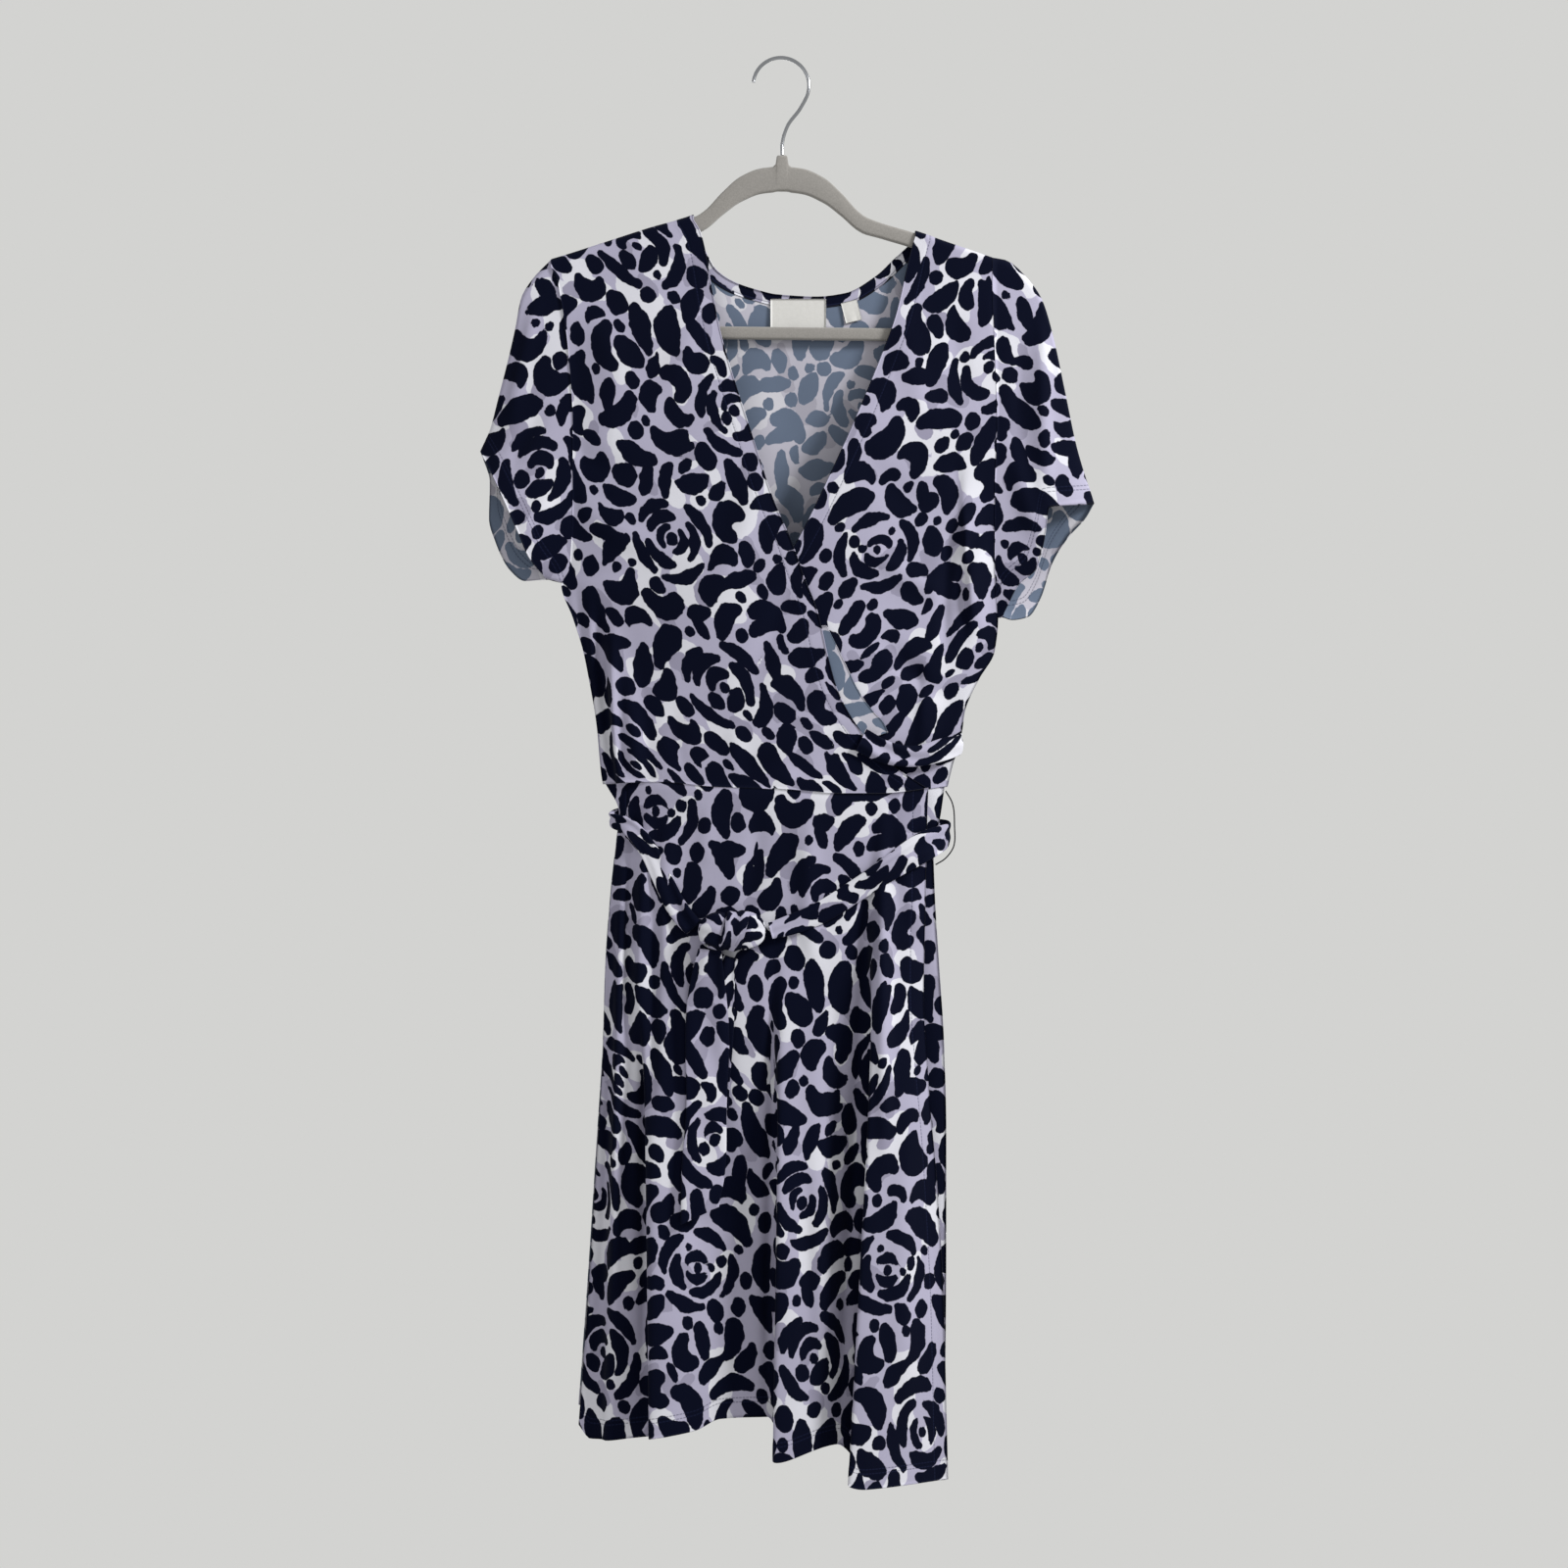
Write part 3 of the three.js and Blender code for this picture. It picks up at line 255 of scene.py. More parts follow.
# Creases: soft ridges (+) and troughs (-) as x and z of one end and of the other, half width, height off
# the cloth, and how far the middle bows to the right
CREASES = {
    "bodice_front_over": [
        (-178, -452, -166, -634, 6, -4.2, -3), (-126, -560, -120, -634, 5, 2.6, 1),
        (-169, -462, -152, -634, 5, 3.4, 2), (-160, -470, -145, -634, 5, -4.4, 3),
        (-144, -490, -139, -636, 5, 4.8, 2), (-135, -530, -130, -636, 4, -3.4, 1),
        (-132, -520, -122, -626, 10, 1.6, 2), (-186, -372, -96, -430, 13, 2.2, 8),
        (-190, -330, -128, -362, 11, -1.6, 6), (-70, -190, -104, -300, 12, 1.6, -6),
        (-20, -345, -64, -470, 13, 2.8, -8), (14, -430, -40, -560, 11, -2.6, -6),
        (46, -548, -30, -612, 9, 3.0, -7), (60, -575, 0, -622, 7, -2.4, -5),
        (-92, -560, -84, -626, 8, -1.6, 2), (-40, -574, -36, -628, 8, 1.4, 2),
        (-164, -214, -140, -300, 12, 1.5, -5),
    ],
    "bodice_front_under": [
        (104, -196, 132, -330, 13, 1.8, 7), (60, -330, 128, -400, 14, -1.8, 6),
        (154, -346, 166, -412, 9, -2.4, 3), (158, -350, 172, -500, 7, 4.0, 6),
        (176, -400, 160, -478, 6, -4.2, 5), (150, -400, 142, -520, 6, -3.4, 5),
        (70, -420, 150, -470, 10, 2.6, 5), (84, -500, 150, -560, 9, -3.0, 4),
        (120, -548, 132, -620, 8, 1.8, 2), (150, -214, 160, -300, 11, -1.6, 4),
    ],
    "bodice_back": [
        (-150, -230, -110, -380, 16, 2.0, 6), (150, -230, 112, -390, 16, 2.2, -6),
        (-80, -300, -60, -470, 20, -1.8, 4), (70, -290, 52, -460, 18, -1.8, -5),
        (0, -250, 6, -420, 22, 1.6, 3), (-120, -480, -108, -618, 9, -2.2, 2),
        (-20, -520, -16, -620, 10, 2.2, 2), (84, -500, 80, -618, 9, -2.0, -2),
        (150, -470, 140, -600, 8, 1.8, -3),
    ],
    "skirt_front_over": [
        (-147, -700, -168, -1194, 6, -4.6, -4), (-137, -650, -146, -1100, 5, 5.8, 3),
        (-128, -644, -134, -1010, 5, -4.6, 3), (-116, -642, -124, -860, 6, 5.4, 2),
        (-106, -700, -112, -930, 5, -4.8, 2), (-84, -760, -88, -1060, 6, 4.6, -3),
        (-96, -648, -104, -800, 9, 3.8, 3), (-20, -648, -34, -742, 9, -2.2, -3),
        (24, -646, 30, -800, 10, 3.6, 4), (68, -650, 60, -880, 9, -1.2, -4),
        (88, -640, 88, -960, 7, 6.0, 2), (104, -646, 118, -760, 8, 2.6, 4),
        (34, -800, 40, -1130, 12, 4.6, 5), (-74, -820, -70, -1080, 13, -2.0, -4),
        (110, -860, 108, -1190, 12, 3.8, 5), (128, -760, 134, -960, 8, -2.0, 2),
        (-126, -940, -134, -1186, 9, 2.0, 3), (-60, -640, -66, -700, 8, 1.6, 2),
        (18, -930, 20, -1190, 8, -3.0, -3), (81, -640, 48, -1215, 6, -4.2, 2),
        (-5, -740, -13, -1190, 5, -4.6, 1), (-120, -780, -119, -1200, 5, -4.4, -1),
    ],
    "skirt_front_under": [
        (110, -700, 122, -1000, 9, -2.0, 2), (60, -700, 56, -1150, 14, -2.0, 3),
        (-20, -820, -24, -1150, 12, -2.2, -3), (-44, -900, -40, -1160, 9, 1.4, 2),
    ],
    "skirt_back": [
        (-134, -660, -140, -900, 11, 2.4, 3), (-86, -650, -92, -820, 12, -2.0, -3),
        (-30, -650, -34, -900, 13, 2.4, 4), (36, -660, 40, -1000, 12, -2.6, 4),
        (104, -650, 110, -930, 11, 2.2, 3), (-20, -930, -26, -1170, 12, -2.6, -4),
        (56, -960, 60, -1170, 11, 2.2, 3), (118, -1000, 116, -1160, 9, -2.0, -2),
    ],
}


CREASE_START = (-0.05, 0.35)  # shares of its length between which a crease rises, from its first end
CREASE_END = (-0.05, 0.3)  # and from its other end


def crease_shift(rows, x, z):
    """Height that the creases give the points (x, z)."""
    out = np.zeros(np.broadcast(x, z).shape)
    for x0, z0, x1, z1, width, height, bow in rows:
        length = math.hypot(x1 - x0, z1 - z0)
        dx = (x1 - x0) / length
        dz = (z1 - z0) / length
        along = ((x - x0) * dx + (z - z0) * dz) / length
        off = (x - x0) * -dz + (z - z0) * dx
        off = off + bow * 4 * np.clip(along, 0, 1) * np.clip(1 - along, 0, 1)
        taper = ramp(along, *CREASE_START) * ramp(1 - along, *CREASE_END)
        out = out + height * np.exp(-((off / width) ** 2)) * taper
    return out


def soft_noise(seed, x, z, size, height, waves=7):
    """Small slow unevenness of limp cloth: waves of mixed length and direction."""
    rng = np.random.default_rng(seed)
    out = np.zeros(np.broadcast(x, z).shape)
    for _ in range(waves):
        turn = rng.uniform(-1.0, 1.0)
        length = size * rng.uniform(0.6, 1.7)
        phase = rng.uniform(0, 2 * np.pi)
        out = out + np.sin(2 * np.pi * (x * math.cos(turn) + 0.6 * z * math.sin(turn)) / length + phase)
    return height * out / math.sqrt(waves)


FULLNESS = 0.85  # power of the section's curve, fuller when smaller


def across(q):
    t = np.clip(q, 0, 1)
    return (4 * t * (1 - t)) ** FULLNESS


def share_across(sides, x, z, right="right"):
    """Share of the way from the left side to the right one."""
    left = sides.at("left", z)
    return (x - left) / (sides.at(right, z) - left)


def bodice_depth(face, x, z):
    q = share_across(BODICE_SIDES, x, z)
    edge = lerp(BODICE_DEPTH.at("left", z), BODICE_DEPTH.at("right", z), ramp(q, 0, 1))
    return edge + (BODICE_DEPTH.at(face, z) - edge) * across(q)


def skirt_depth(face, x, z):
    return lerp(SEAM_DEPTH, SKIRT_DEPTH.at(face, z), across(share_across(SKIRT_SIDES, x, z)))


def down_share(length):
    """Shares of a length at the rows of a grid."""
    return np.linspace(0, 1, round(length / SPACING))[:, None]


TURN_ANGLES = np.radians(np.linspace(180, 0, 13)[:-1])  # from the back over the arm to the front
CROWN_ROW = 6
BODICE_SEAM_FADE = 0.06  # share of the width over which folds begin at a seam
SKIRT_SEAM_FADE = 0.05
ARMHOLE_SHARE = 0.03  # of the length, over which a side comes in from the sleeve's head
SHOULDER_SHARE = 0.2  # of the length, over which the rows take the shoulder's line
WAIST_SHARE = 0.8  # from which on they take the waist's


LAP_SHARE = 0.25  # of the width, over which the lap grows from the side seam
LAP_DROP = (190, 260)  # below the rail, between which it begins


def front_bodice(name, side, edge, neck_x, head_x, waist_x, lap, rows, columns, seed):
    """Grid of a bodice front: rows go down, columns from the side seam to the free edge."""
    side_top = shoulder_z(head_x) - TURN_RADIUS
    neck_top = shoulder_z(neck_x) - TURN_RADIUS
    side_low = WAIST.at("z", waist_x)
    edge_low = edge.keys[0]
    u = np.linspace(0, 1, columns)[None, :]
    v = down_share(FRONT_LENGTH)
    side_z = lerp(side_top, side_low, v)
    edge_z = lerp(neck_top, edge_low, v)
    side_x = lerp(head_x, BODICE_SIDES.at(side, side_z), ramp(v, 0, ARMHOLE_SHARE))
    x = lerp(side_x, edge.at("x", edge_z), u)
    shoulder_fit = shoulder_z(x) - TURN_RADIUS - lerp(side_top, neck_top, u)
    shoulder_fit = shoulder_fit * (1 - ramp(v, 0, SHOULDER_SHARE))
    waist_fit = (WAIST.at("z", x) - lerp(side_low, edge_low, u)) * ramp(v, WAIST_SHARE, 1)
    z = lerp(side_z, edge_z, u) + shoulder_fit + waist_fit
    out, aside = fold_shift(rows, x, z)
    fade = ramp(u, 0, BODICE_SEAM_FADE)
    extra = lap * ramp(u, 0, LAP_SHARE) * ramp(-z, *LAP_DROP)
    calm = fade * ramp(v, 0.02, 0.12) * ramp(1 - v, 0, 0.03)
    small = crease_shift(CREASES[name], x, z) + soft_noise(seed, x, z, size=90, height=0.5)
    depth = bodice_depth("front", x, z) + extra + out * fade + small * calm
    grid = stack(x + aside * fade, -depth, z)
    first = grid[0]
    turned = [
        stack(first[:, 0], -TURN_RADIUS * np.cos(a), first[:, 2] + TURN_RADIUS * np.sin(a))
        for a in TURN_ANGLES
    ]
    return np.concatenate([turned, grid])


OVER_BODICE = front_bodice(
    "bodice_front_over", "left", OVER_EDGE, NECK_LEFT_X, SLEEVE_HEAD_LEFT_X, WAIST_LEFT_X, lap=LAP,
    rows=OVER_BODICE_FOLDS, columns=100, seed=17,
)
UNDER_BODICE = front_bodice(
    "bodice_front_under", "right", UNDER_EDGE, NECK_RIGHT_X, SLEEVE_HEAD_RIGHT_X, WAIST_RIGHT_X, lap=0,
    rows=UNDER_BODICE_FOLDS, columns=90, seed=18,
)


def neck_points(t, offset):
    """Points of the back neckline for t of 0 to 1, moved away from the opening."""
    x = lerp(NECK_LEFT_X, NECK_RIGHT_X, 0.5 - 0.5 * np.cos(np.pi * t))
    slope = BACK_NECK.at("z", x + 0.5) - BACK_NECK.at("z", x - 0.5)
    size = np.hypot(slope, 1)
    return x + slope / size * offset, BACK_NECK.at("z", x) - offset / size


def back_top():
    neck_x, neck_z = neck_points(np.linspace(0, 1, 76), NECK_BAND_WIDTH + SEAM_GAP)
    left = np.linspace(SLEEVE_HEAD_LEFT_X, neck_x[0], 40)[:-1]
    right = np.linspace(neck_x[-1], SLEEVE_HEAD_RIGHT_X, 24)[1:]

    def low(x):
        return shoulder_z(x) - TURN_RADIUS - SEAM_GAP

    return np.concatenate([left, neck_x, right]), np.concatenate([low(left), neck_z, low(right)])


def back_bodice():
    top_x, top_z = back_top()
    u = (top_x - top_x[0]) / (top_x[-1] - top_x[0])
    low_x = lerp(WAIST_LEFT_X, WAIST_RIGHT_X, u)
    v = down_share(BACK_LENGTH)
    z = lerp(top_z, WAIST.at("z", low_x), v)
    left, right = (
        lerp(top_x[end], BODICE_SIDES.at(side, z), ramp(v, 0, ARMHOLE_SHARE))
        for side, end in (("left", 0), ("right", -1))
    )
    x = lerp(left, right, u)
    out, aside = fold_shift(BACK_BODICE_FOLDS, x, z)
    fade = inside(u, BODICE_SEAM_FADE, BODICE_SEAM_FADE)
    calm = fade * ramp(v, 0.03, 0.15) * ramp(1 - v, 0, 0.03)
    small = crease_shift(CREASES["bodice_back"], x, z) + soft_noise(3, x, z, size=100, height=0.6)
    return stack(x + aside * fade, bodice_depth("back", x, z) + out * fade + small * calm, z)


BACK_BODICE = back_bodice()


def neck_band():
    t = np.linspace(0, 1, 90)[None, :]
    share = np.linspace(0, 1, 5)[:, None]
    x, z = neck_points(t, share * (NECK_BAND_WIDTH + 1.2))
    return stack(x, bodice_depth("back", x, z) - 0.4, z)


# Sleeves: side of the dress, shift of their print, height of the underarm, outline at the top of the arm
# from the armhole to the hem, the hem from its top round to the underarm, and creases
SLEEVES = {
    "sleeve_right": {
        "side": -1,
        "shift": (60, 170),
        "underarm": -453,
        "outline": Table("s x z", [
            (0, -200, -171), (0.1, -216, -188), (0.2, -226, -205), (0.33, -231, -231), (0.47, -237, -258),
            (0.63, -245, -290), (0.8, -253, -321), (1, -261, -340),
        ]),
        "hem": Table("c frontX frontZ backX backZ", [
            (0, -261, -340, -261, -340), (0.15, -252, -357, -254, -365), (0.35, -242, -378, -255, -396),
            (0.5, -235, -394, -249, -418), (0.65, -227, -412, -237, -441), (0.8, -219, -431, -223, -451),
            (1, -205, -449, -203, -450),
        ]),
        "creases": [
            (-206, -196, -236, -330, 8, 2.4, 4), (-202, -300, -236, -360, 8, -2.2, 3),
            (-196, -380, -226, -412, 7, 2.0, 2),
        ],
    },
    "sleeve_left": {
        "side": 1,
        "shift": (190, 30),
        "underarm": -484,
        "outline": Table("s x z", [
            (0, 182, -171), (0.06, 195, -173.5), (0.12, 208, -184), (0.24, 225, -207), (0.38, 235, -240),
            (0.58, 245, -287), (0.78, 255, -335), (1, 270, -385),
        ]),
        "hem": Table("c frontX frontZ backX backZ", [
            (0, 270, -385, 270, -385), (0.1, 262, -386, 264, -396), (0.25, 248, -387, 249, -413),
            (0.42, 231, -389, 236, -434), (0.6, 226, -417, 225, -466), (0.75, 220, -441, 214, -482),
            (0.88, 204, -456, 200, -485), (1, 192, -480, 191, -483),
        ]),
        "creases": [
            (226, -210, 229, -384, 7, 3.0, 2), (204, -230, 214, -380, 9, -2.2, 3),
            (200, -330, 222, -420, 8, 2.2, 3),
        ],
    },
}


def resampled(points, share):
    lengths = lengths_along(points)
    return np.stack([np.interp(share * lengths[-1], lengths, points[:, k]) for k in range(3)], axis=-1)


def bulge(outline, axis, s):
    """How far an outline lies off the straight line between its ends."""
    return outline.at(axis, s) - lerp(outline.at(axis, 0), outline.at(axis, 1), s)


OPENING_ROUNDNESS = 0.8  # power of the curve of a sleeve's opening
SWELL_FADE = 1.6  # power with which the outline's swell fades towards the underarm


def sleeve_grid(spec):
    """Rows go from the armhole to the hem, columns round the arm: front half, then the back half."""
    side = spec["side"]
    front = (OVER_BODICE if side < 0 else UNDER_BODICE)[:, 0]
    back = BACK_BODICE[:, 0 if side < 0 else -1]
    front = front[front[:, 2] >= spec["underarm"] - 1]
    back = back[back[:, 2] >= spec["underarm"] - 1]
    back = np.concatenate([front[CROWN_ROW : CROWN_ROW + 1], front[:CROWN_ROW][::-1], back])
    front = front[CROWN_ROW:]
    share = np.linspace(0, 1, round(SLEEVE_GIRTH / SPACING))
    halves = []
    for face, points, c in (("front", front, share), ("back", back, share[1:][::-1])):
        root = resampled(points, c)
        sign = -1 if face == "front" else 1
        s = down_share(SLEEVE_LENGTH)
        start_x = root[:, 0] - side * SEAM_GAP
        openness = np.maximum(np.sin(np.pi * c), 0) ** OPENING_ROUNDNESS
        edge_y = sign * np.where(c == 0, 0, 1 + SLEEVE_FULLNESS * openness)
        swell = (1 - c) ** SWELL_FADE
        x, z = (
            lerp(start, spec["hem"].at(face + axis.upper(), c), s) + bulge(spec["outline"], axis, s) * swell
            for axis, start in (("x", start_x), ("z", root[:, 2]))
        )
        y = lerp(root[:, 1], edge_y, s)
        calm = ramp(s, 0, 0.2) * inside(c, 0.1, 0.1)
        y = y + sign * calm * crease_shift(spec["creases"], x, z)
        halves.append(stack(x, y, z))
    return np.concatenate(halves, axis=1)


DEEP_FOLDS_Z = -1100.0  # of a row where all folds are deep


def fold_columns(rows, sides):
    """Places along a row, closer on the steep side of a fold."""
    z = np.array([DEEP_FOLDS_Z])
    knots = fold_knots(rows, sides, z)[0]
    places = []
    for k in range(len(knots) - 1):
        x = np.linspace(knots[k], knots[k + 1], 60)
        out, aside = fold_shift(rows, x, z)
        length = np.hypot(np.diff(x + aside), np.diff(out)).sum()
        count = max(2, math.ceil(length / SPACING))
        places.append(k + np.arange(count) / count)
    return np.concatenate([*places, [len(knots) - 1]])


def fold_knots(rows, sides, z):
    """x of the sides, and of the foot and the crest of each fold, at heights z."""
    columns = [sides(z)[0]]
    for fold in rows:
        columns += [crest_base(fold, z) - fold["rise"], crest_base(fold, z)]
    columns.append(sides(z)[1])
    return np.maximum.accumulate(np.stack(np.broadcast_arrays(*columns), axis=-1), axis=-1)


WAIST_OVERLAP = 0.8  # of the skirt's top with the bodice
WAIST_TUCK = 0.7  # of its top row, behind the bodice


def skirt_grid(name, face, rows, sides, hem_of, extra_of, seed):
    """Grid of a skirt piece. sides gives the x of its left and right side at height z."""
    places = fold_columns(rows, sides)
    v = down_share(SKIRT_LENGTH)
    row_z = lerp(SKIRT_TOP_Z, SKIRT_HEM_Z, v)
    knots = fold_knots(rows, sides, row_z[:, 0])
    k = np.minimum(places.astype(int), knots.shape[1] - 2)
    x = lerp(knots[:, k], knots[:, k + 1], places - k)
    z = lerp(WAIST.at("z", x) + WAIST_OVERLAP, hem_of(x), v)
    out, aside = fold_shift(rows, x, row_z)
    left, right = sides(row_z)
    q = (x - left) / (right - left)
    fade = ramp(q, 0, SKIRT_SEAM_FADE)
    if face == "back":
        fade = inside(q, SKIRT_SEAM_FADE, SKIRT_SEAM_FADE)
    small = crease_shift(CREASES[name], x + aside, z) + soft_noise(seed, x, z, size=110, height=0.6)
    depth = skirt_depth(face, x, row_z) + extra_of(q) + out * fade + small * fade * ramp(v, 0, 0.04)
    depth = depth - WAIST_TUCK * (1 - ramp(v, 0, 0.012)) * inside(q, 0.04, 0.04)
    return stack(x + aside * fade, -depth if face == "front" else depth, z)


def over_skirt_lap(q):
    return LAP * ramp(q, 0, 0.2) + SKIRT_LAP * ramp(q, 0.3, 1)


def skirt_sides(left="left", right="right"):
    """Sides of a skirt piece, each a column of the table or one x."""

    def side_x(side, z):
        return SKIRT_SIDES.at(side, z) if isinstance(side, str) else side + 0 * z

    return lambda z: [side_x(left, z), side_x(right, z)]


UNDER_SKIRT_LEFT_X = -95
UNDER_HEM_Z = -1164
BACK_HEM_Z = -1166
BACK_HEM_WAVE = 3

OVER_SKIRT = skirt_grid(
    "skirt_front_over", "front", OVER_SKIRT_FOLDS, skirt_sides(right="edge"),
    lambda x: OVER_HEM.at("z", x), over_skirt_lap, seed=11,
)
UNDER_SKIRT = skirt_grid(
    "skirt_front_under", "front", [], skirt_sides(left=UNDER_SKIRT_LEFT_X),
    lambda x: UNDER_HEM_Z + 0 * x, lambda q: 0 * q, seed=12,
)
BACK_SKIRT = skirt_grid(
    "skirt_back", "back", BACK_SKIRT_FOLDS, skirt_sides(),
    lambda x: BACK_HEM_Z + BACK_HEM_WAVE * np.sin(x / 28), lambda q: 0 * q, seed=13,
)


# The print: navy brush strokes, close together, on a lilac ground with white and grey patches, in a repeat
# of the flat cloth. Each stroke is a bent line with a half width at each of its points.
TILE = np.array([290.0, 350.0])
CHANNELS = {"navy": 4, "white": 1, "grey": 1}
FAR = 5.0  # distance from a stroke past which it isn't measured
STROKE_GAP = 2.5
PRINT_SCALE = np.array([0.92, 1.12])  # of the tile on the cloth, across and down


def bent_line(x, y, length, turn, bend, count=9):
    """Points of a line through (x, y) that turns by bend radians over its length."""
    t = np.linspace(-0.5, 0.5, count)
    angle = turn + bend * t
    step = length / (count - 1)
    px = np.cumsum(np.cos(angle)) * step
    py = np.cumsum(np.sin(angle)) * step
    return np.stack([px - px.mean() + x, py - py.mean() + y], axis=-1)


def brush(rng, x, y, length, width, turn, bend):
    """A stroke with blunt ends, widest a little off its middle."""
    line = bent_line(x, y, max(length - width, 2), turn, bend)
    t = np.linspace(0, 1, len(line))
    peak = rng.uniform(0.3, 0.7)
    blunt = rng.uniform(0.08, 0.7)
    share = np.where(t < peak, t / peak, (1 - t) / (1 - peak))
    return line, 0.5 * width * (blunt + (1 - blunt) * np.sin(0.5 * np.pi * share))


def petal(rng, x, y, radius, start, sweep, half):
    angle = start + np.linspace(0, sweep, 9)
    wobble = radius * (1 + rng.uniform(-0.07, 0.07) + 0.05 * np.sin(2 * angle))
    line = np.stack([x + wobble * np.cos(angle), y + wobble * np.sin(angle)], axis=-1)
    t = np.linspace(0, 1, 9)
    return line, half * (0.45 + 0.55 * np.sin(np.pi * t ** rng.uniform(0.7, 1.4)))


# Radius of a ring of petals, its number of petals, their sweep in radians and their half width
FLOWER_RINGS = ((0.36, 2, 2.2, 0.11), (0.72, 3, 1.5, 0.16), (1.08, 4, 1.1, 0.15))
FLOWER_PLACES = ((0.14, 0.12), (0.62, 0.3), (0.2, 0.52), (0.74, 0.66), (0.36, 0.86))


def flower(rng, x, y, size):
    """Rings of thick bent petals round a small eye, a little oval."""
    strokes = [brush(rng, x, y, 0.3 * size, 0.2 * size, rng.uniform(0, 3), 0.8)]
    for radius, count, sweep, half in FLOWER_RINGS:
        start = rng.uniform(0, 2 * np.pi)
        for n in range(count):
            angle = start + 2 * np.pi * n / count + rng.uniform(-0.1, 0.1)
            reach = sweep * rng.uniform(0.85, 1.05)
            if n or rng.random() < 0.7:
                strokes.append(petal(rng, x, y, radius * size, angle, reach, half * size))
    tilt = rng.uniform(0, np.pi)
    axis = np.array([math.cos(tilt), math.sin(tilt)])
    squeeze = np.eye(2) - rng.uniform(0.0, 0.25) * np.outer(axis, axis)
    centre = np.array([x, y])
    return [((line - centre) @ squeeze + centre, half) for line, half in strokes]


# Length and width of the filling strokes, their largest bend in radians, and how many places are tried
FILLERS = (
    (48, 16, 3.4, 900), (38, 15, 3.0, 1500), (28, 15, 1.8, 2000), (34, 11, 3.2, 2500), (21, 13, 1.2, 2500),
    (24, 8, 2.2, 2500), (14, 9, 0.5, 1600), (9, 6, 0.2, 500),
)


def tile_gaps(a, b):
    """Distances between the points of a and of b in the repeat."""
    return np.linalg.norm((a[:, None] - b + TILE / 2) % TILE - TILE / 2, axis=2)


def clearance(line, half, points, halves):
    """Smallest gap between a stroke and the strokes at the points."""
    return (tile_gaps(line, points) - half[:, None] - halves).min()


ROOM_SHARE = 0.4  # of a stroke's width, that has to be free round its middle
BRANCH_CHANCE = 0.6
BRANCH_WIDTH = 0.75
BRANCH_LENGTH = 0.8
SHORTEST_WITH_BRANCH = 26


def branch(rng, line, length, width):
    """A thinner stroke that springs from near one end of another."""
    root = line[rng.choice([1, len(line) - 2])]
    turn = rng.uniform(0, 2 * np.pi)
    reach = 0.42 * length * np.array([math.cos(turn), math.sin(turn)])
    return brush(rng, *(root + reach), length, BRANCH_WIDTH * width, turn, rng.uniform(-0.9, 0.9))


def navy_strokes(rng):
    strokes = []
    for share in FLOWER_PLACES:
        spot = TILE * share + rng.uniform(-12, 12, 2)
        strokes += flower(rng, *spot, rng.uniform(27, 34))
    points, halves = (np.concatenate(parts) for parts in zip(*strokes))
    for length, width, bend, tries in FILLERS:
        for _ in range(tries):
            spot = rng.uniform(0, 1, 2) * TILE
            if clearance(spot[None], np.zeros(1), points, halves) < ROOM_SHARE * width:
                continue
            size = rng.uniform(0.85, 1.15)
            turn = rng.uniform(0, 2 * np.pi)
            stroke = brush(rng, *spot, size * length, size * width, turn, rng.uniform(-bend, bend))
            if clearance(*stroke, points, halves) <= STROKE_GAP:
                continue
            added = [stroke]
            if length >= SHORTEST_WITH_BRANCH and rng.random() < BRANCH_CHANCE:
                twig = branch(rng, stroke[0], BRANCH_LENGTH * size * length, size * width)
                if clearance(*twig, points, halves) > STROKE_GAP:
                    added.append(twig)
            strokes += added
            points, halves = (np.concatenate(parts) for parts in zip((points, halves), *added))
    return grown(strokes)


GROWING_REACH = 36  # within which another stroke holds one back


def grown(strokes, passes=7, most=1.4):
    """Widens each stroke into the room round it, by at most so many mm in each pass."""
    lines, halves = (list(parts) for parts in zip(*strokes))
    owner = np.repeat(np.arange(len(lines)), [len(line) for line in lines])
    points = np.concatenate(lines)
    around = []
    for k, line in enumerate(lines):
        gap = tile_gaps(line, points)
        near = np.flatnonzero((gap.min(axis=0) < GROWING_REACH) & (owner != k))
        around.append((near, gap[:, near]))
    for _ in range(passes):
        for k, (near, gap) in enumerate(around):
            clear = (gap - halves[k][:, None] - np.concatenate(halves)[near]).min()
            halves[k] = halves[k] + np.clip(0.6 * (clear - STROKE_GAP), 0, most)
    return list(zip(lines, halves))


CLOSE = 9  # gap under which two strokes are kept in different channels


def with_channels(strokes):
    """Gives each stroke a channel, so that the ground between close ones stays."""
    taken = []
    for line, half in strokes:
        near = np.zeros(CHANNELS["navy"])
        for _, other_line, other_half, channel in taken:
            near[channel] += max(0, CLOSE - clearance(line, half, other_line, other_half))
        taken.append(("navy", line, half, int(near.argmin())))
    return taken


def patches(rng, tone, count, length, width):
    found = []
    for _ in range(count):
        spot = rng.uniform(0, 1, 2) * TILE
        size = rng.uniform(0.7, 1.3)
        stroke = brush(rng, *spot, size * length, size * width, rng.uniform(0, 6.3), rng.uniform(-1, 1))
        found.append((tone, *stroke, 0))
    return found


def print_strokes(seed=8):
    rng = np.random.default_rng(seed)
    navy = with_channels(navy_strokes(rng))
    white = patches(rng, "white", count=70, length=42, width=18)
    grey = patches(rng, "grey", count=45, length=26, width=11)
    return navy + white + grey


STROKES = print_strokes()


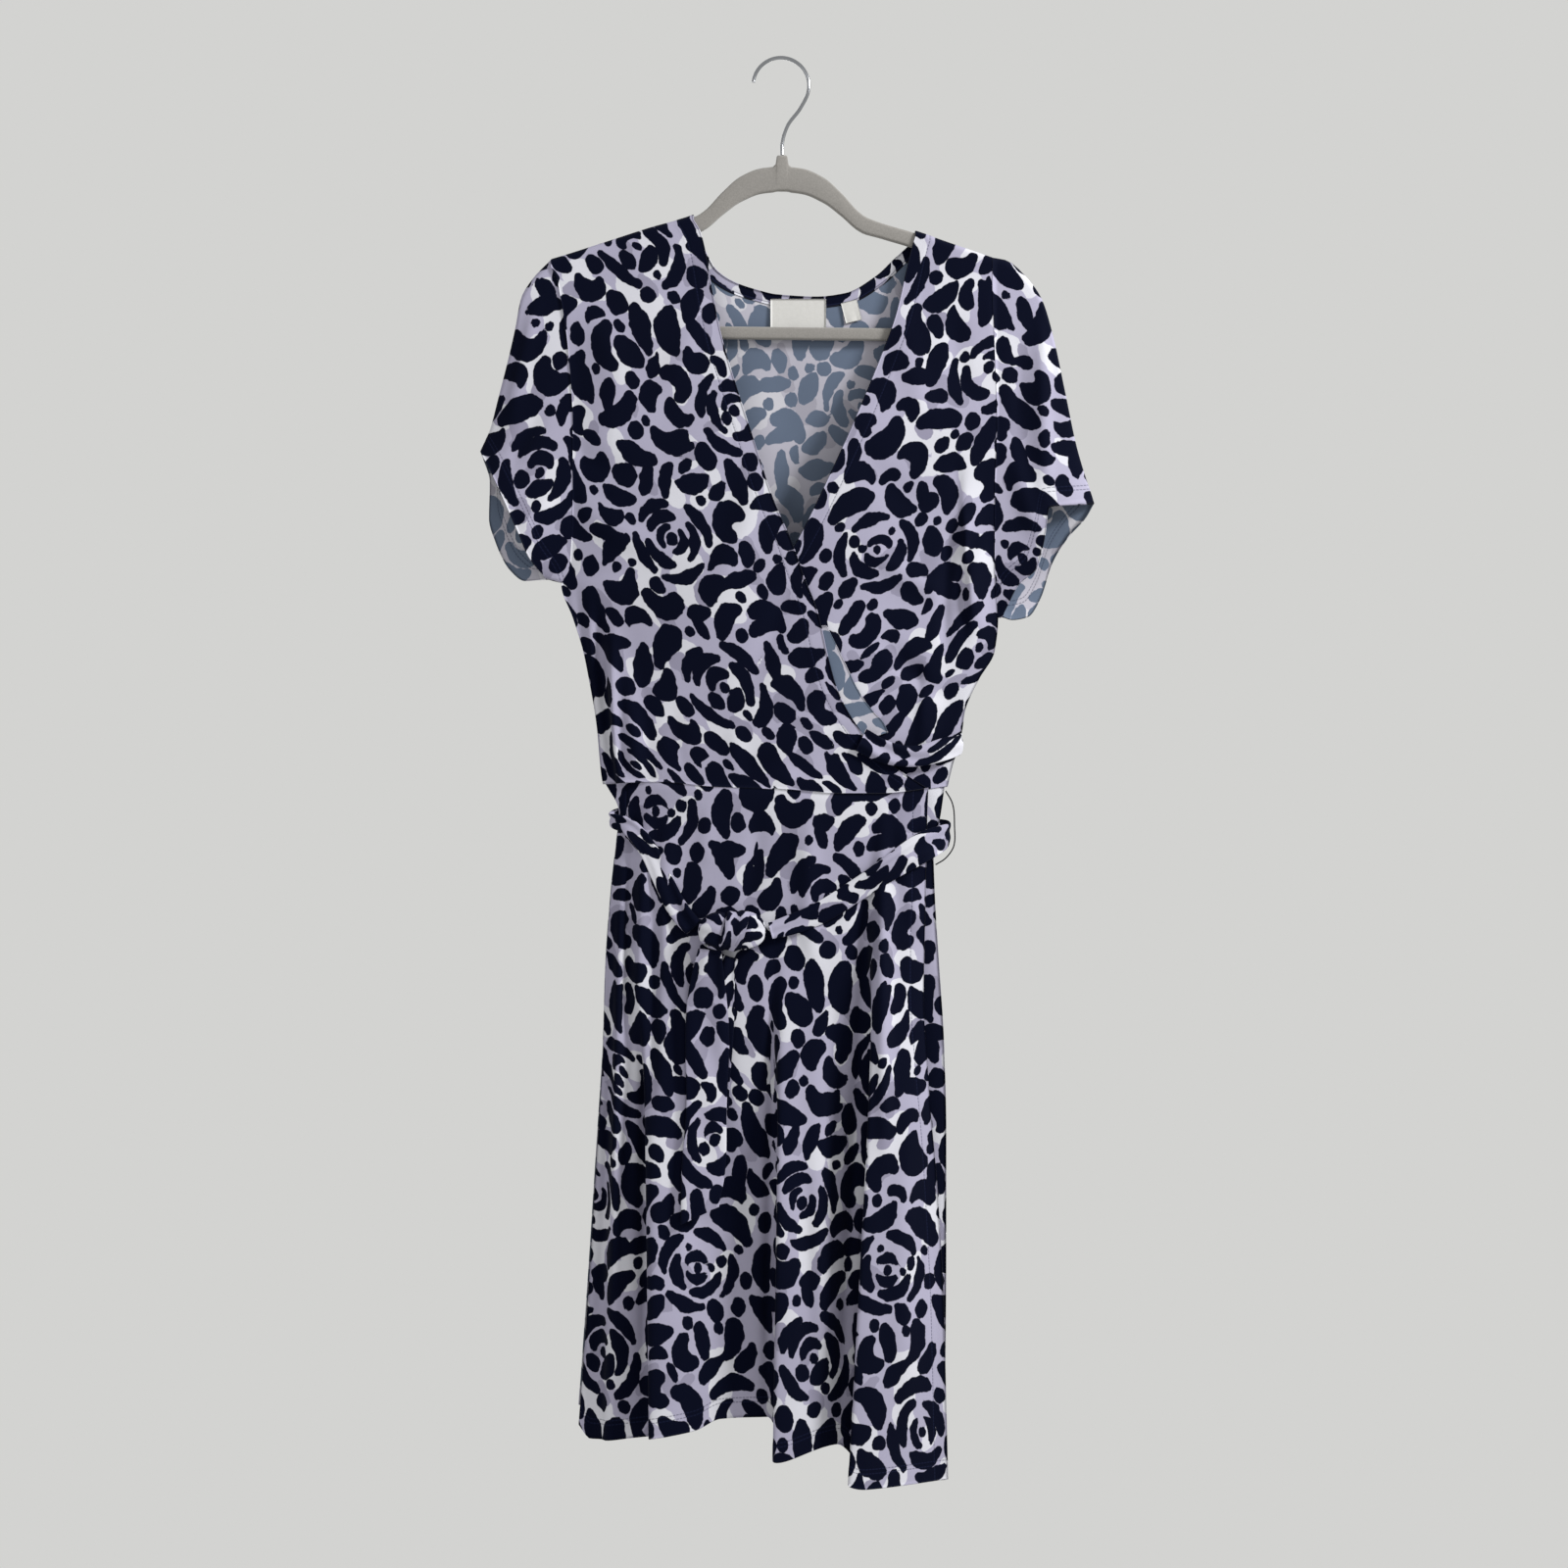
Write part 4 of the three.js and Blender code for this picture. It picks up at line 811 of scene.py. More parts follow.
def print_fields(flat):
    """Signed distance in mm from the edge of the nearest stroke of each channel, inside below 0."""
    flat = flat / PRINT_SCALE
    names = [f"{tone}{n}" for tone, count in CHANNELS.items() for n in range(count)]
    fields = {name: np.full(len(flat), FAR) for name in names}
    low = flat.min(axis=0)
    high = flat.max(axis=0)
    for tone, line, half, channel in STROKES:
        field = fields[f"{tone}{channel}"]
        reach = half.max() + FAR
        first = np.floor((low - line.max(axis=0) - reach) / TILE).astype(int)
        last = np.ceil((high - line.min(axis=0) + reach) / TILE).astype(int)
        for tile in np.ndindex(*(last - first + 1)):
            points = line + TILE * (first + tile)
            box_low = points.min(axis=0) - reach
            box_high = points.max(axis=0) + reach
            if (box_low > high).any() or (box_high < low).any():
                continue
            near = np.flatnonzero(((flat > box_low) & (flat < box_high)).all(axis=1))
            if len(near):
                field[near] = np.minimum(field[near], stroke_distance(flat[near], points, half))
    return {name: field * PRINT_SCALE.mean() for name, field in fields.items()}


def stroke_distance(spots, line, half):
    start = line[:-1]
    step = np.diff(line, axis=0)
    length = np.maximum((step**2).sum(axis=1), 1e-9)
    offset = spots[:, None] - start
    t = np.clip((offset * step).sum(axis=2) / length, 0, 1)
    gap = np.linalg.norm(offset - t[..., None] * step, axis=2)
    return (gap - lerp(half[:-1], half[1:], t)).min(axis=1)


def flat_coordinates(grid):
    """Lengths along the cloth at each point of a grid: across, from the middle column, and down."""
    sideways = np.linalg.norm(np.diff(grid, axis=1), axis=2)
    u = np.pad(np.cumsum(sideways, axis=1), ((0, 0), (1, 0)))
    down = np.linalg.norm(np.diff(grid, axis=0), axis=2)
    v = np.pad(np.cumsum(down, axis=0), ((1, 0), (0, 0)))
    return u - u[:, [u.shape[1] // 2]], v


def sleeve_coordinates(grid):
    """A sleeve lies flat, so the cloth of its back half is the mirror image past the fold at its top."""
    flat = grid[..., [0, 2]]
    start = flat[0, 0]
    fold = unit(flat[-1, 0] - start)
    offset = flat - start
    mirrored = start + 2 * (offset @ fold)[..., None] * fold - offset
    is_front = np.arange(grid.shape[1]) <= grid.shape[1] // 2
    flat = np.where(is_front[None, :, None], flat, mirrored)
    return flat[..., 0], -flat[..., 1]


def grid_normals(grid, tube):
    if tube:
        along = np.roll(grid, -1, axis=1) - np.roll(grid, 1, axis=1)
    else:
        along = np.gradient(grid, axis=1)
    return unit(np.cross(np.gradient(grid, axis=0), along))


def quads(a, b, c, d):
    return np.stack([a, b, c, d], axis=-1).reshape(-1, 4)


RIM_REACH = 0.8  # of half the thickness, past a free end


def shell_mesh(grid, thickness, tube, outward):
    """A wall round a grid, with a rounded rim at its free ends.

    Gives its points and faces, the grid point of each point, and 1 for points of the inner side.
    """
    rows, columns = grid.shape[:2]
    half = np.broadcast_to(np.asarray(thickness, float), (rows, columns))[..., None] / 2
    swell = grid_normals(grid, tube) * outward * half
    ids = np.arange(rows * columns).reshape(rows, columns)
    if tube:
        ids = np.concatenate([ids, ids[:, :1]], axis=1)
    total = rows * columns
    corners = (ids[:-1, :-1], ids[1:, :-1], ids[1:, 1:], ids[:-1, 1:])
    faces = [quads(*corners), quads(*corners)[:, [0, 3, 2, 1]] + total]
    points = [(grid + swell).reshape(-1, 3), (grid - swell).reshape(-1, 3)]
    source = [np.arange(total), np.arange(total)]
    ends = [(ids[0], ids[1]), (ids[-1][::-1], ids[-2][::-1])]
    if not tube:
        ends += [(ids[::-1, 0], ids[::-1, 1]), (ids[:, -1], ids[:, -2])]
    start = 2 * total
    for line, next_line in ends:
        at = np.unravel_index(line, (rows, columns))
        away = unit(grid[at] - grid[np.unravel_index(next_line, (rows, columns))])
        points.append(grid[at] + away * half[at] * RIM_REACH)
        source.append(line)
        middle = start + np.arange(len(line))
        if tube:
            middle[-1] = start
        start += len(line)
        faces.append(quads(line[:-1], middle[:-1], middle[1:], line[1:]))
        faces.append(quads(middle[:-1], line[:-1] + total, line[1:] + total, middle[1:]))
    faces = np.concatenate(faces)
    if outward < 0:
        faces = faces[:, ::-1]
    inner = np.zeros(start)
    inner[total : 2 * total] = 1
    return np.concatenate(points), faces, np.concatenate(source), inner


def add_object(name, points, faces, material, ends=()):
    """An object of points in mm and faces of four corners, with flat ends of many corners."""
    mesh = bpy.data.meshes.new(name)
    mesh.from_pydata((points * MM).tolist(), [], faces.tolist() + [end.tolist() for end in ends])
    mesh.validate()
    mesh.update()
    mesh.shade_smooth()
    obj = bpy.data.objects.new(name, mesh)
    bpy.context.scene.collection.objects.link(obj)
    obj.data.materials.append(material)
    return obj


def tube_object(name, rings, material, closed=False):
    """A tube through rings of points, with flat ends or closed to a loop."""
    ids = np.arange(rings.shape[0] * rings.shape[1]).reshape(rings.shape[:2])
    ends = [] if closed else [ids[0, ::-1], ids[-1]]
    if closed:
        ids = np.concatenate([ids, ids[:1]])
    ids = np.concatenate([ids, ids[:, :1]], axis=1)
    faces = quads(ids[:-1, :-1], ids[1:, :-1], ids[1:, 1:], ids[:-1, 1:])
    points = rings.reshape(-1, 3)
    corner = points[faces]
    if (corner[:, 0] * np.cross(corner[:, 1], corner[:, 2])).sum() < 0:
        faces = faces[:, ::-1]
        ends = [end[::-1] for end in ends]
    return add_object(name, points, faces, material, ends)


def add_floats(obj, **values):
    """Gives each point of a piece its value under each name."""
    for key, numbers in values.items():
        attribute = obj.data.attributes.new(key, "FLOAT", "POINT")
        attribute.data.foreach_set("value", numbers.ravel().astype(np.float32))


UNSTITCHED = 100.0  # a distance that no stitch row reaches


def cloth_object(name, grid, thickness=CLOTH, tube=False, outward=1, hem=None, edge=None, shift=(0, 0),
                 turn=0.0, wrong=(0, 1)):
    """A piece of printed cloth.

    hem and edge are distances in mm from its stitched ends, wrong says which of its outer and inner side
    shows the wrong side of the jersey.
    """
    points, faces, source, inner = shell_mesh(grid, thickness, tube, outward)
    u, v = flat_coordinates(grid)
    flat = sleeve_coordinates(grid) if tube else (u, v - grid[0, :, 2])
    turned = np.array([[math.cos(turn), -math.sin(turn)], [math.sin(turn), math.cos(turn)]])
    spots = np.stack(flat, axis=-1).reshape(-1, 2) @ turned.T + shift
    far = np.full(grid.shape[:2], UNSTITCHED)
    fields = print_fields(spots)
    fields |= {"hem": far if hem is None else hem, "edge": far if edge is None else edge}
    fields |= {"across": u, "down": v}
    obj = add_object(name, points, faces, JERSEY)
    add_floats(obj, **{key: field.ravel()[source] for key, field in fields.items()})
    add_floats(obj, wrong=lerp(*wrong, inner))
    return obj


# Materials
def srgb(text):
    values = [int(text[k : k + 2], 16) / 255 for k in (1, 3, 5)]
    return tuple(v / 12.92 if v <= 0.04045 else ((v + 0.055) / 1.055) ** 2.4 for v in values) + (1,)


class Nodes:
    """Short names for building a node tree."""

    def __init__(self, name):
        self.material = bpy.data.materials.new(name)
        self.material.use_nodes = True
        self.tree = self.material.node_tree
        self.surface = self.tree.nodes["Principled BSDF"]

    def link(self, source, target):
        if isinstance(source, (int, float, tuple)):
            target.default_value = source
        else:
            self.tree.links.new(source, target)

    def add(self, kind, inputs, output, **settings):
        """The output of a new node, after its settings and its inputs."""
        node = self.tree.nodes.new(kind)
        for key, value in settings.items():
            setattr(node, key, value)
        for key, source in inputs.items():
            self.link(source, node.inputs[key])
        return node.outputs[output]

    def value(self, name):
        return self.add("ShaderNodeAttribute", {}, "Fac", attribute_name=name, attribute_type="GEOMETRY")

    def math(self, operation, a, b=0.0):
        return self.add("ShaderNodeMath", {0: a, 1: b}, 0, operation=operation)

    def plus(self, a, b):
        return self.math("ADD", a, b)

    def minus(self, a, b):
        return self.math("SUBTRACT", a, b)

    def times(self, a, b):
        return self.math("MULTIPLY", a, b)

    def step(self, value, low, high, to_low=0.0, to_high=1.0):
        inputs = {"Value": value, "From Min": low, "From Max": high, "To Min": to_low, "To Max": to_high}
        return self.add("ShaderNodeMapRange", inputs, "Result")

    def mix(self, share, a, b):
        return self.add("ShaderNodeMix", {0: share, 6: a, 7: b}, 2, data_type="RGBA")

    def shade(self, colour, value):
        return self.add("ShaderNodeHueSaturation", {"Color": colour, "Value": value}, "Color")

    def noise(self, scale, detail=3.0):
        place = self.add("ShaderNodeTexCoord", {}, "Object")
        return self.add("ShaderNodeTexNoise", {"Vector": place, "Scale": scale, "Detail": detail}, "Fac")

    def set(self, **values):
        for key, value in values.items():
            self.link(value, self.surface.inputs[key.replace("_", " ")])

    def bump(self, height, strength, distance):
        inputs = {"Height": height, "Strength": strength, "Distance": distance}
        self.set(Normal=self.add("ShaderNodeBump", inputs, "Normal"))


# Places of the stitch rows, in mm from the end of the cloth, and the spacings of the knit
HEM_ROWS = (13.0, 16.6)
EDGE_ROW = 12.8
STITCH_LENGTH = 1.5
STITCH_ENDS = (0.25, 0.45)  # distances from its end between which a stitch comes up
STITCH_EDGE = (0.3, 0.6)  # distances from its row between which it fades
STITCH_SHOW = 0.55
WALE = 0.9
COURSE = 1.1
INK_EDGE = 0.25  # half the width over which a stroke's edge fades


def jersey_material():
    n = Nodes("printed jersey")

    def uneven(scale, detail, middle, height):
        return n.times(n.minus(n.noise(scale, detail), middle), height)

    fine = uneven(190.0, 2.0, middle=0.68, height=2.4)
    broad = uneven(75.0, 1.0, middle=0.59, height=5.0)
    wobble = n.plus(fine, broad)  # of the strokes' edges, in mm

    def larger(a, b):
        return n.math("MAXIMUM", a, b)

    def cover(tone):
        """1 where strokes of a tone lie, in any of its channels."""
        distances = [n.plus(n.value(f"{tone}{k}"), wobble) for k in range(CHANNELS[tone])]
        return functools.reduce(larger, [n.step(each, -INK_EDGE, INK_EDGE, 1.0, 0.0) for each in distances])

    covers = [cover(tone) for tone in ("white", "grey", "navy")]

    def printed(ground, *inks):
        """The ground's colour with the inks of white, grey and navy strokes over it."""
        colour = srgb(ground)
        for share, ink in zip(covers, inks):
            colour = n.mix(share, colour, srgb(ink))
        return colour

    right = printed("#9a97ab", "#c0c0c8", "#868396", "#010417")
    wrong = printed("#a8a6b1", "#b9b8bf", "#9896a1", "#5a6577")
    colour = n.mix(n.value("wrong"), right, wrong)
    colour = n.shade(colour, n.step(n.noise(9.0, 4.0), 0.3, 0.7, 0.93, 1.05))

    # Stitch rows: a twin row above a hem, one row inside the free edge, both broken into stitches
    hem, edge, along, down = (n.value(name) for name in ("hem", "edge", "across", "down"))

    def off(distance, place):
        return n.math("ABSOLUTE", n.minus(distance, place))

    def row(distance, place, path):
        broken = n.step(n.math("PINGPONG", path, STITCH_LENGTH), *STITCH_ENDS)
        return n.times(n.step(off(distance, place), *STITCH_EDGE, 1.0, 0.0), broken)

    stitches = larger(row(hem, HEM_ROWS[0], along), row(hem, HEM_ROWS[1], along))
    stitches = larger(stitches, row(edge, EDGE_ROW, down))
    colour = n.mix(n.times(stitches, STITCH_SHOW), colour, srgb("#151a33"))
    groove = n.math(
        "MINIMUM", n.step(off(hem, sum(HEM_ROWS) / 2), 0.0, 4.0), n.step(off(edge, EDGE_ROW), 0.0, 2.2)
    )

    # Knit: fine wales down the cloth, soft crumples, and the grooves of the stitch rows
    wale = n.math("SINE", n.times(along, 2 * math.pi / WALE))
    course = n.math("SINE", n.times(down, 2 * math.pi / COURSE))
    knit = n.times(n.times(wale, course), 0.05)
    crumple = n.times(n.noise(38.0), 0.7)
    height = n.plus(n.plus(knit, crumple), n.times(groove, 0.5))
    n.bump(height, strength=0.35, distance=0.0012)
    n.set(
        Base_Color=colour, Roughness=0.85, Sheen_Weight=0.02, Sheen_Roughness=0.5, Specular_IOR_Level=0.06,
    )
    return n.material


def plain_material(name, colour, mottle, grain=None, **settings):
    """A plain material.

    mottle says how much its colour varies, on a noise of what scale. grain is the strength and distance of
    its bump.
    """
    n = Nodes(name)
    share, scale = mottle
    worn = n.step(n.noise(scale), 0.3, 0.7, 1 - share, 1 + share)
    n.set(Base_Color=n.shade(srgb(colour), worn), **settings)
    if grain:
        n.bump(n.noise(scale * 2.5), *grain)
    return n.material


JERSEY = jersey_material()
FLOCK = plain_material(
    "flocked plastic", "#7e7b77", (0.1, 900.0), (0.4, 0.0004), Roughness=0.95, Sheen_Weight=0.25,
)
WIRE = plain_material("bright wire", "#96989c", (0.02, 300.0), Roughness=0.2, Metallic=1.0)
RIBBON = plain_material("label ribbon", "#b9b8b5", (0.03, 400.0), (0.3, 0.0003), Roughness=0.55)
THREAD = plain_material("black thread", "#14151b", (0.2, 1500.0), (0.5, 0.0003), Roughness=0.9)


def ride(obj, slot, *nodes):
    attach(obj, "root")
    if nodes:
        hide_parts(*nodes)


HEM_STEP = (13, 18)  # distances from the end over which a turned hem thins out to the cloth
NECK_BAND_CLOTH = 1.4
SLEEVE_PRINT_TURN = 0.5  # radians


def stitched(grid, ends):
    """Distances from the stitched ends of a piece, hem or free edge, and the thickness that they give."""
    over, down = flat_coordinates(grid)
    distances = {"hem": down[-1:] - down, "edge": over[:, -1:] - over}
    settings = {end: distances[end] for end in ends}
    if ends:
        settings["thickness"] = lerp(HEM_CLOTH, CLOTH, ramp(distances[ends[0]], *HEM_STEP))
    return settings


def add_cloth(name, grid, **settings):
    ride(cloth_object(name + "_cloth", grid, **settings), "printed_jersey", name)


def add_walls(rows):
    """Pieces of the dress from rows of name, grid, side that faces out, print's shift and stitched ends."""
    for name, grid, outward, shift, *ends in rows:
        add_cloth(name, grid, outward=outward, shift=shift, **stitched(grid, ends))


def add_sleeves():
    for name, spec in SLEEVES.items():
        grid = sleeve_grid(spec)
        side = spec["side"]
        look = stitched(grid, ["hem"]) | {"shift": spec["shift"], "turn": SLEEVE_PRINT_TURN * side}
        add_cloth(name, grid, tube=True, outward=-side, **look)


def add_neck_band():
    grid = neck_band()
    edge = stitched(grid, ["hem"])["hem"] + EDGE_ROW - NECK_BAND_ROW
    add_cloth(
        "neck_band_back", grid, thickness=NECK_BAND_CLOTH, edge=edge, shift=(10, 120), wrong=(0, 0),
    )


add_walls([
    ("bodice_front_over", OVER_BODICE, 1, (40, 15), "edge"),
    ("bodice_front_under", UNDER_BODICE, -1, (150, 60), "edge"),
    ("bodice_back", BACK_BODICE, -1, (95, 210)),
])
add_neck_band()
add_sleeves()
add_walls([
    ("skirt_front_over", OVER_SKIRT, 1, (0, 250), "hem", "edge"),
    ("skirt_front_under", UNDER_SKIRT, 1, (120, 90), "hem"),
    ("skirt_back", BACK_SKIRT, -1, (200, 160), "hem"),
])


def surface_y(face, x, z):
    """Middle of the frontmost wall, or of the back wall, at (x, z)."""
    above = z > WAIST.at("z", x)
    if face < 0 and above:
        return -float(bodice_depth("front", x, z) + LAP)
    if face < 0:
        depth = skirt_depth("front", x, z) + over_skirt_lap(share_across(SKIRT_SIDES, x, z, "edge"))
        return -float(depth + fold_shift(OVER_SKIRT_FOLDS, x, z)[0])
    if above:
        return float(bodice_depth("back", x, z) + fold_shift(BACK_BODICE_FOLDS, x, z)[0])
    return float(skirt_depth("back", x, z) + fold_shift(BACK_SKIRT_FOLDS, x, z)[0])


def smooth_path(points, count):
    """Points at even shares of a smooth line through the given ones, and their lengths along it."""
    points = np.asarray(points, float)
    lengths = lengths_along(points[:, :3])
    width = np.diff(lengths)[:, None]
    slope = np.diff(points, axis=0) / width
    inner = (slope[:-1] * width[1:] + slope[1:] * width[:-1]) / (width[:-1] + width[1:])
    tangent = np.concatenate([slope[:1], inner, slope[-1:]])
    place = np.linspace(0, lengths[-1], count)
    i = np.clip(np.searchsorted(lengths, place, side="right") - 1, 0, len(points) - 2)
    t = (place - lengths[i])[:, None] / width[i]
    return hermite(points[i], points[i + 1], tangent[i], tangent[i + 1], width[i], t), place


SECTION_POWERS = (0.8, 0.5)  # of its cosine and sine, for a blunt flat oval


def flat_section(angle):
    """Places across and up, from -1 to 1, round the section of a pressed tube."""
    waves = (np.cos(angle), np.sin(angle))
    return [np.sign(wave) * np.abs(wave) ** power for wave, power in zip(waves, SECTION_POWERS)]


TIE_CLEARANCE = 2.4
TIE_THICKNESS = 2.8
TIE_CREASES = 1.5
RING_SPACING = 2.5
SLANT_LENGTH = 40  # at the end of the long tail


def band_grid(rows, seed, slant=0.0):
    """Rings of a pressed tube of cloth along rows of face, x, z, width and lift off the cloth.

    The face is -1 in front of the dress, 1 behind it, and 0 at its side.
    """
    keys = []
    for face, x, z, width, lift in rows:
        clear = TIE_CLEARANCE + lift
        if face == 0:
            side = math.copysign(1, x)
            keys.append((x + side * clear, 0, z, width, side, 0))
        else:
            keys.append((x, surface_y(face, x, z) + face * clear, z, width, 0, face))
    count = round(lengths_along(np.array(keys)[:, :3])[-1] / RING_SPACING)
    path, place = smooth_path(keys, max(12, count))
    centre = path[:, :3]
    place = place[:, None]
    tangent = unit(np.gradient(centre, axis=0))
    aim = unit(stack(path[:, 4], path[:, 5], 0 * path[:, 4]))
    flat = unit(np.cross(tangent, aim))
    up = np.cross(flat, tangent)
    rng = np.random.default_rng(seed)
    around = np.linspace(0, 2 * np.pi, 37)[:-1]
    w, h = flat_section(around)
    ridge = np.zeros((len(path), len(around)))
    for _ in range(4):
        waves = rng.uniform(0.7, 2.0)
        drift = rng.uniform(-0.012, 0.012)
        phase = rng.uniform(0, 2 * np.pi)
        wave = np.sin(np.pi * waves * w + drift * place * 2 * np.pi + phase)
        ridge += wave * (0.6 + 0.4 * np.sin(place / rng.uniform(20, 45) + phase))
    ridge *= TIE_CREASES / 2 * (1 - np.abs(w) ** 3)
    half = path[:, 3:4] / 2 * (1 + 0.05 * np.sin(place / 17 + seed) * np.abs(w))
    grid = centre[:, None] + flat[:, None] * (w * half)[..., None]
    grid = grid + up[:, None] * (h * TIE_THICKNESS / 2 + ridge)[..., None]
    grid[..., 2] += slant * w * ramp(place, place[-1] - SLANT_LENGTH, place[-1])
    return grid


def band_object(name, rings, shift):
    """A closed tube with flat ends, printed like the cloth, with like halves on both sides."""
    obj = tube_object(name, rings, JERSEY)
    u, v = flat_coordinates(rings)
    u = u - u[:, :1]
    u = np.minimum(u, u[:, -1:] - u)
    far = np.full(u.shape, UNSTITCHED)
    fields = print_fields(np.stack([u.ravel(), v.ravel()], axis=-1) + shift)
    add_floats(obj, **fields, hem=far, edge=far, across=u, down=v, wrong=0 * far)
    return obj


TIES = {
    "tie_over": [
        (-1, 68, -590, 20, 0.6), (-1, 90, -601, 19, 1.5), (-1, 116, -604, 19, 1.5), (-1, 140, -598, 20, 1),
        (0, 153, -593, 17, 0), (1, 140, -592, 20, 4.4), (1, 100, -596, 22, 5.4), (1, 40, -608, 22, 6),
        (1, -30, -624, 22, 6.6), (1, -90, -642, 20, 6), (1, -126, -652, 16, 5.4), (0, -146, -659, 13, 0),
        (-1, -134, -664, 14, 2), (-1, -116, -684, 16, 1), (-1, -102, -712, 18, 1), (-1, -88, -738, 18, 1.2),
        (-1, -76, -752, 16, 2),
    ],
    "tie_under": [
        (1, -128, -624, 16, 4), (1, -96, -627, 18, 2.4), (1, -56, -636, 20, 3), (1, -20, -648, 22, 2.2),
        (1, 40, -660, 22, 1.8), (1, 100, -668, 22, 1.8), (0, 141.5, -671, 22, 0.6), (-1, 122, -682, 24, 2),
        (-1, 96, -698, 22, 2), (-1, 66, -718, 20, 2), (-1, 30, -740, 18, 2), (-1, 4, -750, 17, 2.5),
        (-1, -10, -754, 15, 3.5),
    ],
    "tie_tail_long": [
        (-1, -62, -770, 20, 7), (-1, -64, -800, 32, 5), (-1, -64, -860, 36, 7), (-1, -66, -940, 36, 8),
        (-1, -70, -996, 34, 8),
    ],
    "tie_tail_short": [
        (-1, -46, -776, 18, 2), (-1, -54, -800, 28, 1), (-1, -58, -860, 30, 2.4), (-1, -60, -906, 30, 3),
    ],
}
LONG_TAIL_SLANT = -9.0


def add_ties():
    for number, (name, rows) in enumerate(TIES.items()):
        slant = LONG_TAIL_SLANT if name == "tie_tail_long" else 0.0
        rings = band_grid(rows, 20 + number, slant)
        piece = band_object(name + "_cloth", rings, (40 * number, 90 * number))
        ride(piece, "printed_jersey", name)


add_ties()

# The knot: a pleated lump, a strip wound round its middle, and the small loop beside it
KNOT = {"x": -43, "z": -754, "width": 58, "height": 36, "depth": 15, "lift": 8.5}


def knot_centre():
    return np.array([KNOT["x"], surface_y(-1, KNOT["x"], KNOT["z"]) - KNOT["lift"], KNOT["z"]])


def knot_lump():
    """An egg of cloth, drawn in at its middle, with pleats that deepen towards its ends."""
    s = np.linspace(-1, 1, 49)[:, None]
    angle = np.linspace(0, 2 * np.pi, 61)[None, :-1]
    girth = np.sqrt(np.clip(1 - s**2, 0.0004, 1)) ** 0.8
    cinch = 1 - 0.26 * np.exp(-((s / 0.3) ** 2))
    pleat = 1 + 0.09 * np.sin(7 * angle + 1.7 * s) * np.abs(s) ** 0.6
    x = 0.5 * KNOT["width"] * s + 0 * angle
    y = 0.5 * KNOT["depth"] * girth * np.sin(angle) * pleat * cinch
    z = 0.5 * KNOT["height"] * girth * np.cos(angle) * pleat * cinch
    return stack(x, y, z) + knot_centre()


def wound_strip(width, reach_z, reach_y, lean, offset, count=72):
    """A strip wound once round the knot's middle: rings of a flat section along a closed path."""
    t = np.linspace(0, 2 * np.pi, count + 1)[:, None]
    angle = np.linspace(0, 2 * np.pi, 33)[None, :-1]
    w, h = flat_section(angle)
    h = 1.6 * h + 0.9 * np.sin(1.6 * w * np.pi + 1.3 * np.sin(t)) * (1 - np.abs(w) ** 3)
    x = offset + w * width / 2 + lean * np.cos(t)
    return stack(x, (reach_y + h) * np.sin(t), (reach_z + h) * np.cos(t)) + knot_centre()


ride(band_object("tie_knot_cloth", knot_lump(), (30, 20)), "printed_jersey", "tie_knot")
wrap = wound_strip(width=20, reach_z=15.5, reach_y=7.6, lean=4.0, offset=2.0)
ride(band_object("tie_knot_wrap", wrap, (120, 60)), "printed_jersey")


def round_line(name, path, radius, material, sides):
    """A round wire or thread along a path."""
    tangent = unit(np.gradient(path, axis=0))
    side = unit(np.cross(tangent, (0, 1, 0)))
    up = np.cross(side, tangent)
    angle = np.linspace(0, 2 * np.pi, sides + 1)[:-1, None]
    rings = path[:, None] + radius * (side[:, None] * np.cos(angle) + up[:, None] * np.sin(angle))
    return tube_object(name, rings, material)


HOOK_ARC = (173, -12)  # degrees, from the tip to the start of the neck
bend = np.radians(np.linspace(*HOOK_ARC, 15))
hook_points = [
    (HOOK_CENTRE_X + HOOK_RADIUS * math.cos(a), 0, WIRE_RADIUS - HOOK_RADIUS + HOOK_RADIUS * math.sin(a))
    for a in bend
] + [(16, 0, -42), (4.5, 0, -58), (1.5, 0, -66), (0, 0, -74), (0, 0, -83.6)]
hook_path = smooth_path(hook_points, 120)[0]
ride(round_line("hook_wire", hook_path, WIRE_RADIUS, WIRE, 20), "bright_wire", "hanger_hook")
loop_points = [
    (141.8, 0, -634), (147, 0, -643), (149.5, 0, -664), (148, 0, -684), (141, 0, -693), (133, 0, -698),
]
loop_path = smooth_path(loop_points, 60)[0]
loop_thread = round_line("thread_loop_thread", loop_path, THREAD_RADIUS, THREAD, 10)
ride(loop_thread, "black_thread", "thread_loop")
lengths_along(loop_path)[-1] * MM


# Hanger body: one closed loop of band, arms and bar, with rounded edges
HANGER_HALF_WIDTH = 193
BAR_THICKNESS = 6
BAR_ROUNDING = 2.4


def arc(centre_x, centre_z, radius, start, end, count):
    angle = np.radians(np.linspace(start, end, count + 1))
    return np.stack([centre_x + radius * np.cos(angle), centre_z + radius * np.sin(angle)], axis=-1)


